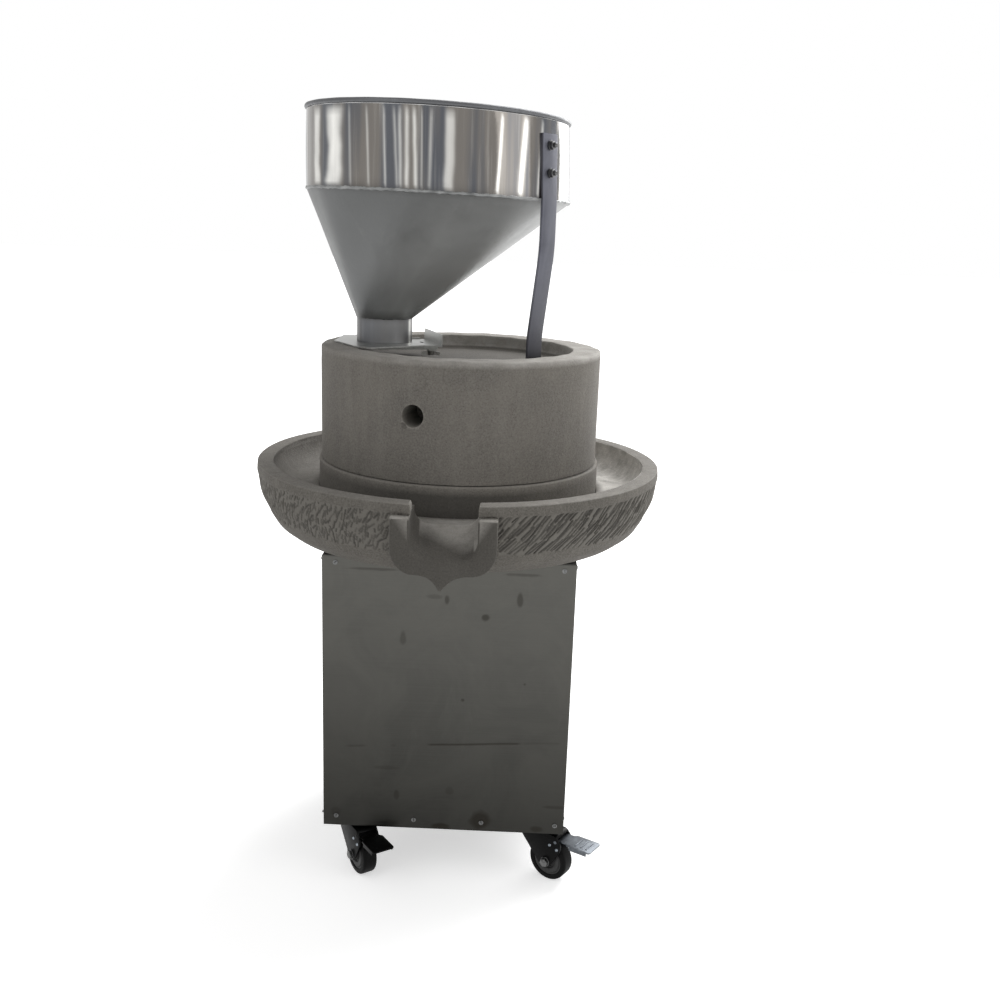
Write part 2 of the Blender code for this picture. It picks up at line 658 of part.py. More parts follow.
def motor():
    top = MOTOR_TOP
    bottom = MOTOR_BOTTOM
    bore = MOTOR_SHAFT_RADIUS + RUNNING_GAP
    flange = REDUCER_RADIUS + 0.006
    profile = [(bore, top), (flange, top), (flange, top - 0.010), (MOTOR_RADIUS, top - 0.014),
               (MOTOR_RADIUS, bottom), (bore, bottom)]
    obj = turned("motor_housing", profile, CAST, HOUSING_SEGMENTS)

    def fins(bm):
        for i in range(MOTOR_FINS):
            turn = Matrix.Rotation(math.tau * i / MOTOR_FINS, 4, "Z")
            add_box(bm, (MOTOR_RADIUS - 0.004, -0.0012, bottom + 0.008),
                    (MOTOR_RADIUS + MOTOR_FIN, 0.0012, top - 0.018), turn)

    combine(obj, place("motor_fins", mesh_from(fins), None), "UNION")
    depth, width, height = TERMINAL_BOX
    near = MOTOR_RADIUS + MOTOR_FIN + GAP
    box_low = (near, -width / 2, top - 0.030 - height)
    box_high = (near + depth, width / 2, top - 0.030)
    terminal = box("terminal_box", box_low, box_high, CAST)
    soften(terminal, 0.003)
    cover = 0.004
    lid = box("terminal_box_cover", (box_high[0] + GAP, box_low[1] - 0.001, box_low[2] - 0.001),
              (box_high[0] + cover, box_high[1] + 0.001, box_high[2] + 0.001), CAST)
    soften(lid, 0.001)
    return obj


def soften(obj, width, segments=1):
    bevel = obj.modifiers.new("edges", "BEVEL")
    bevel.width = width
    bevel.segments = segments
    bevel.limit_method = "ANGLE"
    bevel.angle_limit = math.radians(40)
    return obj


def motor_end():
    shield = MOTOR_RADIUS + MOTOR_FIN
    bore = MOTOR_SHAFT_RADIUS + RUNNING_GAP
    seat = shield - 0.004
    step = SHIELD_TOP - 0.006
    profile = [(bore, SHIELD_TOP), (shield, SHIELD_TOP), (shield, step), (seat, step), (seat, SHIELD_BOTTOM),
               (bore, SHIELD_BOTTOM)]
    turned("motor_end_shield", profile, CAST, HOUSING_SEGMENTS)
    wall = FAN_COVER_WALL
    inner = seat + GAP
    outer = inner + wall
    high = step - GAP
    low = high - FAN_COVER_LENGTH
    hub = 0.016
    profile = [(inner, high), (outer, high), (outer, low + 0.006), (outer - 0.006, low), (hub, low),
               (hub, low + wall), (outer - 0.007, low + wall), (inner, low + 0.007)]
    cover = turned("fan_cover", profile, PLASTIC, HOUSING_SEGMENTS)

    def slots(bm):
        for i in range(FAN_SLOTS):
            turn = Matrix.Rotation(math.tau * i / FAN_SLOTS, 4, "Z")
            add_box(bm, (hub + 0.008, -0.003, low - 0.005), (outer - 0.014, 0.003, low + 0.005), turn)

    return combine(cover, place("fan_cover_slots", mesh_from(slots), None))


def motor_rotor():
    """The motor's shaft, with the cooling fan on its lower end."""
    top = REDUCER_BOTTOM + 0.020
    fan_high = SHIELD_BOTTOM - 0.004
    fan_low = fan_high - 0.022
    shaft = MOTOR_SHAFT_RADIUS
    hub = 0.014
    profile = [(0, top), (shaft, top), (shaft, fan_high), (hub, fan_high), (hub, fan_low), (0, fan_low)]
    obj = turned("motor_rotor", profile, BRIGHT, SMALL_SEGMENTS, closed=False)

    def blades(bm):
        reach = MOTOR_RADIUS - 0.006
        for i in range(FAN_BLADES):
            turn = Matrix.Rotation(math.tau * i / FAN_BLADES, 4, "Z")
            add_box(bm, (hub - 0.004, -0.001, fan_low + 0.003), (reach, 0.001, fan_high - 0.002), turn)

    return combine(obj, place("fan_blades", mesh_from(blades), None), "UNION")


# Cabinet


def frame_half():
    return HALF - SHEET - GAP


def cabinet_frame():
    """Angle bars along all twelve edges: a box shell with its six sides cut open."""
    half = frame_half()
    low = CABINET_BOTTOM + BASE_PLATE + GAP
    high = TOP_PLATE_BOTTOM - GAP
    wall, leg = ANGLE_WALL, ANGLE_LEG
    obj = box("cabinet_frame", (-half, -half, low), (half, half, high), FRAME_PAINT)
    inner = half - wall
    combine(obj, box("frame_hollow", (-inner, -inner, low + wall), (inner, inner, high - wall), None))
    side = half - leg
    beyond = half + 0.01
    combine(obj, box("frame_window_x", (-beyond, -side, low + leg), (beyond, side, high - leg), None))
    combine(obj, box("frame_window_y", (-side, -beyond, low + leg), (side, beyond, high - leg), None))
    return combine(obj, box("frame_window_z", (-side, -side, low - 0.01), (side, side, high + 0.01), None))


def plates():
    half = frame_half()
    base_top = CABINET_BOTTOM + BASE_PLATE
    base = box("base_plate", (-half, -half, CABINET_BOTTOM), (half, half, base_top), FRAME_PAINT)
    bolt_spots = [spot for _, at, _, _ in caster_frames() for spot in caster_bolt_places(at)]
    combine(base, upright_holes("base_plate_holes", bolt_spots, CABINET_BOTTOM, base_top,
                                CASTER_BOLT_RADIUS, 6))
    top = box("top_plate", (-half, -half, TOP_PLATE_BOTTOM), (half, half, CABINET_TOP), FRAME_PAINT)
    combine(top, rod("shaft_opening", (0, 0, TOP_PLATE_BOTTOM - 0.01), (0, 0, CABINET_TOP + 0.01), TRAY_BORE,
                     None, 24))
    combine(top, upright_holes("top_plate_holes", reducer_bolt_places(), TOP_PLATE_BOTTOM, CABINET_TOP,
                               REDUCER_BOLT_RADIUS, BOLT_SEGMENTS))


def upright_holes(name, spots, low, high, radius, segments):
    """Cutters for bolt holes through a level plate."""

    def build(bm):
        for x, y in spots:
            add_rod(bm, (x, y, low - 0.01), (x, y, high + 0.01), radius + GAP, segments)

    return place(name, mesh_from(build), None)


def panel_screw_places():
    """Across and up positions of the screws on a panel: four corners and two more along the foot."""
    across = HALF - SCREW_INSET
    low = CABINET_BOTTOM + 0.012
    high = CABINET_TOP - 0.018
    third = across * 0.32
    return [(-across, high), (across, high), (-across, low), (-third, low), (third, low), (across, low)]


def panels():
    low = CABINET_BOTTOM
    high = CABINET_TOP
    inner = HALF - SHEET
    between = inner - GAP
    front = box("front_panel", (-HALF, -HALF, low), (HALF, -inner, high), STEEL)
    back = box("back_panel", (-HALF, inner, low), (HALF, HALF, high), STEEL)
    left = box("left_panel", (-HALF, -between, low), (-inner, between, high), STEEL)
    right = box("right_panel", (inner, -between, low), (HALF, between, high), STEEL)

    def louvre_slots(bm):
        for row in range(LOUVRES):
            for foot in (low + 0.060, high - 0.070 - LOUVRES * LOUVRE_PITCH):
                z = foot + row * LOUVRE_PITCH
                add_box(bm, (-LOUVRE_LENGTH / 2, inner - 0.01, z),
                        (LOUVRE_LENGTH / 2, HALF + 0.01, z + LOUVRE_HEIGHT))

    combine(back, place("louvre_slots", mesh_from(louvre_slots), None))
    gland_hole = rod("gland_hole", gland_place(inner - 0.01), gland_place(HALF + 0.01), 0.0082, None)
    combine(back, gland_hole)
    x, z = switch_place()
    combine(back, box("switch_hole", (x - 0.0133, inner - 0.01, z - 0.0103),
                      (x + 0.0133, HALF + 0.01, z + 0.0103), None))
    for side, panel in enumerate((front, right, back, left)):
        add_panel_screws(panel, side)


def add_panel_screws(obj, side):
    """Domed heads of a panel's screws, on its outer face. Side counts quarter turns from the front."""
    turn = Matrix.Rotation(math.pi / 2 * side, 4, "Z")

    def heads(bm):
        for across, up in panel_screw_places():
            start = turn @ Vector((across, -HALF + SHEET / 2, up))
            edge = turn @ Vector((across, -HALF - SCREW_HEAD_HEIGHT, up))
            add_rod(bm, start, edge, SCREW_HEAD, 10, SCREW_HEAD * 0.65)

    return combine(obj, place(f"panel_screws_{side}", mesh_from(heads), None), "UNION")


def gland_place(y):
    return Vector((HALF - GLAND_INSET, y, CABINET_BOTTOM + 0.045))


def switch_place():
    return SWITCH_INSET - HALF, CABINET_TOP - 0.080


def electrics():
    """Cable gland and rocker switch on the back panel."""
    outer = HALF + GAP
    inner = HALF - SHEET - GAP

    def gland(bm):
        x, _, z = gland_place(0)
        add_rod(bm, (x, inner - 0.008, z), (x, outer + 0.004, z), 0.0078)

    obj = place("cable_gland", mesh_from(gland), PLASTIC)

    def gland_nuts(bm):
        x, _, z = gland_place(0)
        add_rod(bm, (x, outer, z), (x, outer + 0.005, z), 0.012, 6)
        add_rod(bm, (x, inner - 0.005, z), (x, inner, z), 0.012, 6)
        add_rod(bm, (x, outer + 0.003, z), (x, outer + 0.016, z), 0.0095, SMALL_SEGMENTS, 0.0065)

    combine(obj, place("gland_nuts", mesh_from(gland_nuts), None), "UNION")
    x, _, z = gland_place(0)
    combine(obj, rod("gland_bore", (x, inner - 0.02, z), (x, outer + 0.03, z), 0.004, None))
    x, z = switch_place()
    bezel = box("switch_bezel", (x - 0.0165, outer, z - 0.0135), (x + 0.0165, outer + 0.0025, z + 0.0135),
                PLASTIC)
    soften(bezel, 0.0008)
    body = box("switch_body", (x - 0.013, inner - 0.016, z - 0.010), (x + 0.013, outer + 0.001, z + 0.010),
               None)
    combine(bezel, body, "UNION")
    well = box("switch_well", (x - 0.0112, outer - 0.006, z - 0.0082),
               (x + 0.0112, outer + 0.01, z + 0.0082), None)
    combine(bezel, well)
    profile = [(0.0068, 0.0046), (0.0072, -0.001), (0.003, -0.0048), (-0.003, -0.0048), (-0.0072, -0.001),
               (-0.0074, 0.0016), (0, 0.0012)]
    pivot = empty("switch_pivot", (x, outer, z))
    turn = Matrix(((0, 0, 1, 0), (0, 1, 0, 0), (1, 0, 0, 0), (0, 0, 0, 1)))
    return slab("switch_rocker", [profile], -0.0108, 0.0108, PLASTIC, turn=turn, parent=pivot)


# Hopper


def ring(centre, radius, tilt, segments=HOPPER_SEGMENTS):
    """Points of a circle whose right side (+X) is tilted down, as seen from the front."""
    found = []
    for i in range(segments):
        a = math.tau * i / segments
        x, y = radius * math.cos(a), radius * math.sin(a)
        found.append(Vector((centre[0] + x, centre[1] + y, centre[2] - x * math.tan(tilt))))
    return found


def sleeve(name, rings, spec, **options):
    """A closed wall lofted through rings that run down its outside and up its inside."""

    def build(bm):
        made = [[bm.verts.new(point) for point in points] for points in rings]
        count = len(made[0])
        for upper, lower in zip(made, made[1:] + made[:1]):
            for i in range(count):
                j = (i + 1) % count
                bm.faces.new((upper[i], lower[i], lower[j], upper[j]))

    return place(name, mesh_from(build), spec, **options)


def barrel_section(share):
    """Middle, radius and tilt of the barrel at a share of its height, from 0 at its foot to 1 at its rim."""

    def mix(low, high):
        return low + (high - low) * share

    centre = Vector((mix(HOPPER_X, HOPPER_TOP_X), 0, mix(BARREL_BOTTOM, BARREL_TOP)))
    radius = mix(BARREL_LOWER_RADIUS, BARREL_UPPER_RADIUS)
    return centre, radius, mix(BARREL_LOWER_TILT, BARREL_UPPER_TILT)


def barrel_ring(share, inset=0.0, lift=0.0):
    centre, radius, tilt = barrel_section(share)
    return ring(centre + Vector((0, 0, lift)), radius - inset, tilt)


def barrel_wall(share, angle):
    """A point on the barrel's outside, at this angle round its middle line."""
    centre, radius, tilt = barrel_section(share)
    x, y = radius * math.cos(angle), radius * math.sin(angle)
    return centre + Vector((x, y, -x * math.tan(tilt)))


def hopper():
    sheet = HOPPER_SHEET
    barrel = sleeve("hopper_barrel",
                    [barrel_ring(1), barrel_ring(0), barrel_ring(0, sheet), barrel_ring(1, sheet)], POLISHED)
    combine(barrel, strap_bolt_holes("barrel_bolt_holes"))
    neck = (OUTLET_X, 0, OUTLET_TOP + GAP)
    neck_radius = OUTLET_RADIUS + 0.0007
    sleeve("hopper_cone", [barrel_ring(0, 0, -GAP), ring(neck, neck_radius, 0),
                           ring(neck, neck_radius - sheet, 0), barrel_ring(0, sheet, -GAP)], CONE_STEEL)
    inner = OUTLET_RADIUS - sheet
    turned("hopper_outlet", [(inner, OUTLET_TOP), (OUTLET_RADIUS, OUTLET_TOP), (OUTLET_RADIUS, OUTLET_BOTTOM),
                             (inner, OUTLET_BOTTOM)], POLISHED, 32, at=(OUTLET_X, 0, 0))
    bead_path = ring((HOPPER_TOP_X, 0, BARREL_TOP + GAP + RIM_BEAD), BARREL_UPPER_RADIUS + 0.0005,
                     BARREL_UPPER_TILT)
    curve = bpy.data.curves.new("hopper_rim", "CURVE")
    curve.dimensions = "3D"
    curve.bevel_depth = RIM_BEAD
    curve.bevel_resolution = 1
    spline = curve.splines.new("POLY")
    spline.points.add(len(bead_path) - 1)
    for point, place_at in zip(spline.points, bead_path):
        point.co = (*place_at, 1)
    spline.use_cyclic_u = True
    place("hopper_rim", curve_mesh(curve), POLISHED)


def curve_mesh(curve):
    helper = bpy.data.objects.new("helper", curve)
    bpy.context.scene.collection.objects.link(helper)
    bpy.context.view_layer.update()
    mesh = bpy.data.meshes.new_from_object(helper.evaluated_get(bpy.context.evaluated_depsgraph_get()))
    bpy.data.objects.remove(helper)
    mesh.materials.clear()
    return mesh


# Strap


def strap_side():
    return Vector((math.cos(STRAP_ANGLE), math.sin(STRAP_ANGLE), 0))


def strap_share(drop):
    """The share of the barrel's height at a drop below its upper edge."""
    return 1 - drop / BARREL_HEIGHT


def strap_reach(point):
    """How far a point lies from the hopper's middle line, along the strap's direction."""
    return (point - Vector((HOPPER_X, 0, 0))).dot(strap_side())


def strap_path():
    """(reach, height) points of the strap's inner face, from the top down to its foot."""
    top = barrel_wall(strap_share(STRAP_TOP_BELOW_RIM), STRAP_ANGLE)
    low = barrel_wall(0, STRAP_ANGLE)
    stand = GAP + 0.0002
    return [(strap_reach(top) + stand, top.z), (strap_reach(low) + stand, low.z),
            (strap_reach(low) + stand, RUNNER_TOP + STRAP_BEND_ABOVE_STONE),
            (STRAP_FOOT_REACH, RUNNER_TOP + STRAP_FOOT_BEND_ABOVE_STONE),
            (STRAP_FOOT_REACH, DISH_FLOOR + GAP + STRAP_THICK),
            (STRAP_FOOT_REACH - STRAP_FOOT_LENGTH, DISH_FLOOR + GAP + STRAP_THICK)]


def offset_path(path, distance):
    """The path moved sideways by a distance, with mitred corners."""
    moved = []
    for i, point in enumerate(path):
        before = Vector(path[max(i - 1, 0)])
        here = Vector(point)
        after = Vector(path[min(i + 1, len(path) - 1)])
        first = (here - before).normalized() if i else (after - here).normalized()
        second = (after - here).normalized() if i < len(path) - 1 else first
        normal = Vector((-first.y - second.y, first.x + second.x))
        normal.normalize()
        moved.append(tuple(here + normal * distance / max(normal.dot(Vector((-first.y, first.x))), 0.3)))
    return moved


def strap_frame():
    """Turns (reach, height) points and a width into the strap's place."""
    side = strap_side()
    across = Vector((-side.y, side.x, 0))
    return Matrix(((side.x, 0, -across.x, HOPPER_X), (side.y, 0, -across.y, 0), (0, 1, 0, 0), (0, 0, 0, 1)))


def strap_bolt_axis(drop):
    return barrel_wall(strap_share(drop), STRAP_ANGLE)


def strap_bolt_holes(name):
    side = strap_side()

    def build(bm):
        for drop in STRAP_BOLT_DROPS:
            middle = strap_bolt_axis(drop)
            add_rod(bm, middle - side * 0.02, middle + side * 0.03, BOLT_RADIUS + GAP, BOLT_SEGMENTS)

    return place(name, mesh_from(build), None)


def strap_foot_bolt_place():
    reach = STRAP_FOOT_REACH - STRAP_FOOT_LENGTH * 0.5
    return Vector((HOPPER_X, 0, DISH_FLOOR)) + strap_side() * reach


def strap():
    inner = strap_path()
    outline = inner + list(reversed(offset_path(inner, STRAP_THICK)))
    obj = slab("hopper_strap", [outline], -STRAP_WIDTH / 2, STRAP_WIDTH / 2, STRAP_STEEL, turn=strap_frame())
    combine(obj, strap_bolt_holes("strap_bolt_holes"))
    foot = strap_foot_bolt_place()
    hole = rod("strap_foot_hole", foot, foot + Vector((0, 0, 0.02)), BOLT_RADIUS + GAP, None, BOLT_SEGMENTS)
    return combine(obj, hole)


def bolt(name, seat_low, seat_high, spec=BRIGHT):
    """A bolt whose thin head lies against seat_low, with a nut on seat_high and its end standing out."""
    along = (seat_high - seat_low).normalized()
    end = seat_high + along * (BOLT_HEAD_HEIGHT + BOLT_END)
    obj = rod(name, seat_low - along * 0.002, end, BOLT_RADIUS, spec, BOLT_SEGMENTS)

    def head(bm):
        add_rod(bm, seat_low - along * 0.003, seat_low, BOLT_HEAD_RADIUS * 0.6, BOLT_SEGMENTS,
                BOLT_HEAD_RADIUS)

    combine(obj, place(name + "_head", mesh_from(head), None), "UNION")
    nut = rod(name + "_nut", seat_high, seat_high + along * BOLT_HEAD_HEIGHT, BOLT_HEAD_RADIUS, None, 6)
    return combine(obj, nut, "UNION")


def strap_bolts():
    """Two bolts through barrel and strap with nuts outside, and the bolt that holds the foot on the stone."""
    side = strap_side()
    for name, drop in zip(("strap_bolt_upper", "strap_bolt_lower"), STRAP_BOLT_DROPS):
        middle = strap_bolt_axis(drop)
        bolt(name, middle - side * (HOPPER_SHEET + 0.0012), middle + side * (STRAP_THICK + 0.0016))
    foot = strap_foot_bolt_place()
    seat = foot + Vector((0, 0, STRAP_THICK + 2 * GAP))
    anchor = rod("strap_anchor_bolt", foot - Vector((0, 0, 0.028)), seat + Vector((0, 0, 0.002)), BOLT_RADIUS,
                 BRIGHT, BOLT_SEGMENTS)
    head = rod("anchor_head", seat, seat + Vector((0, 0, BOLT_HEAD_HEIGHT)), BOLT_HEAD_RADIUS, None, 6)
    return combine(anchor, head, "UNION")


# Feed gate


def gate_turn():
    return Matrix.Translation((OUTLET_X, 0, 0)) @ Matrix.Rotation(GATE_ANGLE, 4, "Z")


def feed_plate():
    """The sheet between outlet and stone, cut to clear the dish, with its right edge square to the gate."""
    turn = Matrix.Rotation(GATE_ANGLE, 2)
    corner = GATE_HALF + GUIDE_WALL + 0.006
    left, near, far = FEED_PLATE_LEFT, FEED_PLATE_NEAR, FEED_PLATE_FAR
    outline = [(-left, far * 0.85), (-left, -near * 0.15), (-left * 0.45, -near * 0.85), (-left * 0.1, -near)]
    outline += [tuple(turn @ Vector((FEED_PLATE_RIGHT, -corner))),
                tuple(turn @ Vector((FEED_PLATE_RIGHT, corner)))]
    outline += [(-left * 0.4, far)]
    hole = arc((0, 0), (FEED_HOLE_RADIUS, FEED_HOLE_RADIUS), 0, 345, 23)
    obj = slab("feed_plate", [outline, hole], FEED_PLATE_BOTTOM, FEED_PLATE_TOP, STEEL, at=(OUTLET_X, 0, 0))
    return add_gate_guide(obj)


def gate_levels():
    """Top and bottom of the gate, and the top of the guide's lips."""
    top = FEED_PLATE_BOTTOM - GAP - 0.0002
    bottom = top - GATE_THICK
    return top, bottom, bottom - GAP


def slide_gate():
    """A round-ended plate with a tab bent up at its outer end."""
    top, bottom, _ = gate_levels()
    home = empty("gate_home", (OUTLET_X, 0, 0), GATE_ANGLE)
    outline = arc((0, 0), (GATE_END, GATE_HALF), 90, 270, 12)
    outline += [(GATE_LENGTH, -GATE_HALF), (GATE_LENGTH, GATE_HALF)]
    slot = arc((GATE_LENGTH - 0.016, 0.004), (0.0025, 0.008), 0, 330, 11)
    obj = slab("slide_gate", [outline, slot], bottom, top, STEEL, parent=home)
    lean = math.tan(GATE_TAB_LEAN)
    tab = [(GATE_LENGTH - 0.002, bottom), (GATE_LENGTH + GATE_THICK, bottom),
           (GATE_LENGTH + GATE_THICK + GATE_TAB * lean, bottom + GATE_TAB),
           (GATE_LENGTH + GATE_TAB * lean, bottom + GATE_TAB), (GATE_LENGTH, top), (GATE_LENGTH - 0.002, top)]
    upright = Matrix.Rotation(math.radians(90), 4, "X")
    bent = slab("gate_tab", [tab], -GATE_HALF, GATE_HALF, None, turn=upright, parent=home)
    return combine(obj, bent, "UNION")


def add_gate_guide(plate):
    """Two lipped rails under the feed plate, joined by the bridge that takes the wing screw."""
    _, _, lip_top = gate_levels()
    high = FEED_PLATE_BOTTOM + 0.001
    low = lip_top - GUIDE_LIP
    inner = GATE_HALF + GAP
    outer = inner + GUIDE_WALL
    start = GUIDE_START
    turn = gate_turn()

    def turned_box(name, box_low, box_high):
        mesh = mesh_from(lambda bm: add_box(bm, box_low, box_high, turn))
        return place(name, mesh, None)

    for side, name in ((-1, "near"), (1, "far")):
        ends = sorted((side * inner, side * outer))
        rail = turned_box(f"guide_rail_{name}", (start, ends[0], low), (GUIDE_END, ends[1], high))
        combine(plate, rail, "UNION")
        ends = sorted((side * (inner - 0.005), side * (outer - 0.001)))
        lip = turned_box(f"guide_lip_{name}", (start + 0.001, ends[0], low - 0.001),
                         (GUIDE_END - 0.001, ends[1], lip_top))
        combine(plate, lip, "UNION")
    bridge = turned_box("guide_bridge", (GUIDE_END - 0.014, -inner - 0.002, low - 0.003),
                        (GUIDE_END - 0.002, inner + 0.002, low + 0.0005))
    combine(plate, bridge, "UNION")
    x, y = wing_screw_place()
    hole = rod("guide_hole", turn @ Vector((x, y, low - 0.02)), turn @ Vector((x, y, low + 0.003)),
               WING_SCREW_RADIUS + GAP, None)
    return combine(plate, hole)


def wing_screw_place():
    return GUIDE_END - 0.008, -WING_SCREW_SIDE


def wing_screw():
    """A screw up through the guide's bridge that clamps the gate, with two wings to turn it by."""
    _, bottom, lip_top = gate_levels()
    low = lip_top - GUIDE_LIP
    spot = gate_turn() @ Vector((*wing_screw_place(), 0))
    pivot = empty("wing_screw_axis", (spot.x, spot.y, 0), GATE_ANGLE)
    hub_high = low - 0.003 - GAP
    hub_low = hub_high - 0.007
    radius = WING_SCREW_RADIUS
    profile = [(0, bottom - GAP), (radius, bottom - GAP), (radius, hub_high), (radius + 0.0025, hub_high),
               (radius + 0.0015, hub_low), (0, hub_low)]
    obj = turned("wing_screw", profile, BRIGHT, SMALL_SEGMENTS, closed=False, parent=pivot)
    wing = [(0.002, hub_low + 0.001), (0.012, hub_low - 0.001), (0.0145, hub_low + 0.001),
            (0.013, hub_low + 0.005), (0.002, hub_high - 0.001)]
    upright = Matrix.Rotation(math.radians(90), 4, "X")
    for side in (-1, 1):
        outline = [(side * x, z) for x, z in wing]
        cutter = slab(f"wing_{side + 1}", [outline], -0.001, 0.001, None, turn=upright, parent=pivot)
        combine(obj, cutter, "UNION")
    return obj


# Casters


def caster_frames():
    """Name, swivel axis, heading of the trailing wheel and pedal finish of each caster."""
    across = HALF - CASTER_SIDE_INSET
    along = HALF - CASTER_INSET
    return [
        ("front_left", (-across, -along), math.radians(-56), BLACK_PAINT),
        ("front_right", (across, -along), math.radians(-34), ZINC),
        ("rear_left", (-across, along), math.radians(-60), None),
        ("rear_right", (across, along), math.radians(-84), None),
    ]


def caster_plate(name, at):
    high = CABINET_BOTTOM - GAP
    low = high - CASTER_PLATE_THICK
    half = CASTER_PLATE / 2
    obj = box(f"caster_plate_{name}", (-half, -half, low), (half, half, high), BLACK_PAINT, at=(*at, 0))
    raceway_low = low - RACEWAY_HEIGHT
    pin_low = raceway_low - FORK_HEAD - 2 * GAP - 0.0025
    profile = [(0, low + 0.001), (RACEWAY_RADIUS, low + 0.001), (RACEWAY_RADIUS + 0.002, raceway_low + 0.001),
               (RACEWAY_RADIUS, raceway_low), (KINGPIN_RADIUS, raceway_low),
               (KINGPIN_RADIUS, pin_low + 0.0025), (KINGPIN_RADIUS + 0.003, pin_low + 0.0025),
               (KINGPIN_RADIUS + 0.002, pin_low), (0, pin_low)]
    raceway = turned(f"raceway_{name}", profile, None, SMALL_SEGMENTS, closed=False, at=(*at, 0))
    combine(obj, raceway, "UNION")
    for i, (x, y) in enumerate(caster_bolt_places(at)):
        shank = rod(f"caster_shank_{name}_{i}", (x, y, low + 0.001),
                    (x, y, CABINET_BOTTOM + BASE_PLATE - 0.0005), CASTER_BOLT_RADIUS, None, 6)
        combine(obj, shank, "UNION")
        head = rod(f"caster_head_{name}_{i}", (x, y, low - 0.0035), (x, y, low + 0.001), 0.0065, None, 6)
        combine(obj, head, "UNION")
    return obj


def caster_bolt_places(at):
    reach = CASTER_PLATE / 2 - 0.008
    return [(at[0] + i * reach, at[1] + j * reach) for i in (-1, 1) for j in (-1, 1)]


def fork_levels():
    top = CABINET_BOTTOM - GAP - CASTER_PLATE_THICK - RACEWAY_HEIGHT - GAP
    return top, top - FORK_HEAD


def fork(name, home, braked):
    """A pressed fork: a round head over two tapering cheeks that trail back to the axle."""
    top, under = fork_levels()
    inner = WHEEL_WIDTH / 2 + FORK_SIDE_GAP
    outer = inner + FORK_WALL
    axle = (TRAIL, WHEEL_RADIUS)
    boss = 0.010
    head = RACEWAY_RADIUS + 0.002
    cheek = [(-head + 0.004, top), (-head + 0.002, under - 0.004)]
    cheek += arc(axle, (boss, boss), 205, 350, 5)
    cheek += [(TRAIL + 0.024, WHEEL_RADIUS + 0.022), (TRAIL + 0.026, under - 0.008), (TRAIL + 0.016, top)]
    upright = Matrix.Rotation(math.radians(90), 4, "X")
    obj = slab(f"caster_fork_{name}", [cheek], -outer, outer, BLACK_PAINT, turn=upright, parent=home)
    combine(obj, box(f"fork_gap_{name}", (-0.1, -inner, -0.05), (0.1, inner, under), None, parent=home))
    crown = rod(f"fork_head_{name}", (0, 0, under + 0.0002), (0, 0, top - 0.0001), head, None, parent=home)
    combine(obj, crown, "UNION")
    combine(obj, rod(f"fork_pin_hole_{name}", (0, 0, under - 0.02), (0, 0, top + 0.02),
                     KINGPIN_RADIUS + RUNNING_GAP, None, parent=home))
    combine(obj, rod(f"fork_axle_hole_{name}", (TRAIL, -0.05, WHEEL_RADIUS), (TRAIL, 0.05, WHEEL_RADIUS),
                     AXLE_RADIUS + GAP, None, 10, parent=home))
    if braked:
        x, z = pedal_pivot()
        combine(obj, rod(f"fork_pedal_hole_{name}", (x, -0.05, z), (x, 0.05, z),
                         PEDAL_PIVOT_RADIUS + RUNNING_GAP, None, 10, parent=home))
    return obj


def wheel(name, home):
    """Tyre and rim, turned about the axle."""
    hub = empty(f"wheel_axis_{name}", (TRAIL, 0, WHEEL_RADIUS), parent=home)
    hub.rotation_euler = (math.radians(-90), 0, 0)
    half = WHEEL_WIDTH / 2
    tyre = WHEEL_RADIUS
    seat = RIM_RADIUS + GAP
    turned(f"caster_tyre_{name}", [(seat, half - 0.001), (tyre - 0.003, half - 0.001), (tyre, half - 0.005),
                                   (tyre, -half + 0.005), (tyre - 0.003, -half + 0.001),
                                   (seat, -half + 0.001)], RUBBER, 20, parent=hub)
    bore = AXLE_RADIUS + RUNNING_GAP
    hub_radius = 0.009
    dish = 0.004
    side = [(bore, half + 0.001), (hub_radius, half + 0.001), (hub_radius + 0.001, half - dish),
            (RING_RADIUS, half - dish), (RIM_RADIUS, half - 0.001)]
    profile = side + [(r, -z) for r, z in reversed(side)]
    turned(f"caster_rim_{name}", profile, RIM_GREY, SMALL_SEGMENTS, parent=hub)


def axle(name, home):
    outer = WHEEL_WIDTH / 2 + FORK_SIDE_GAP + FORK_WALL + GAP
    z = WHEEL_RADIUS
    obj = rod(f"caster_axle_{name}", (TRAIL, -outer - 0.006, z), (TRAIL, outer + 0.003, z), AXLE_RADIUS,
              BRIGHT, 10, parent=home)

    def ends(bm):
        for side in (-1, 1):
            add_rod(bm, (TRAIL, side * outer, z), (TRAIL, side * (outer + 0.0045), z), 0.0068, 6)

    return combine(obj, place(f"axle_ends_{name}", mesh_from(ends), None, parent=home), "UNION")


def pedal_pivot():
    _, under = fork_levels()
    return TRAIL + 0.016, under - 0.006


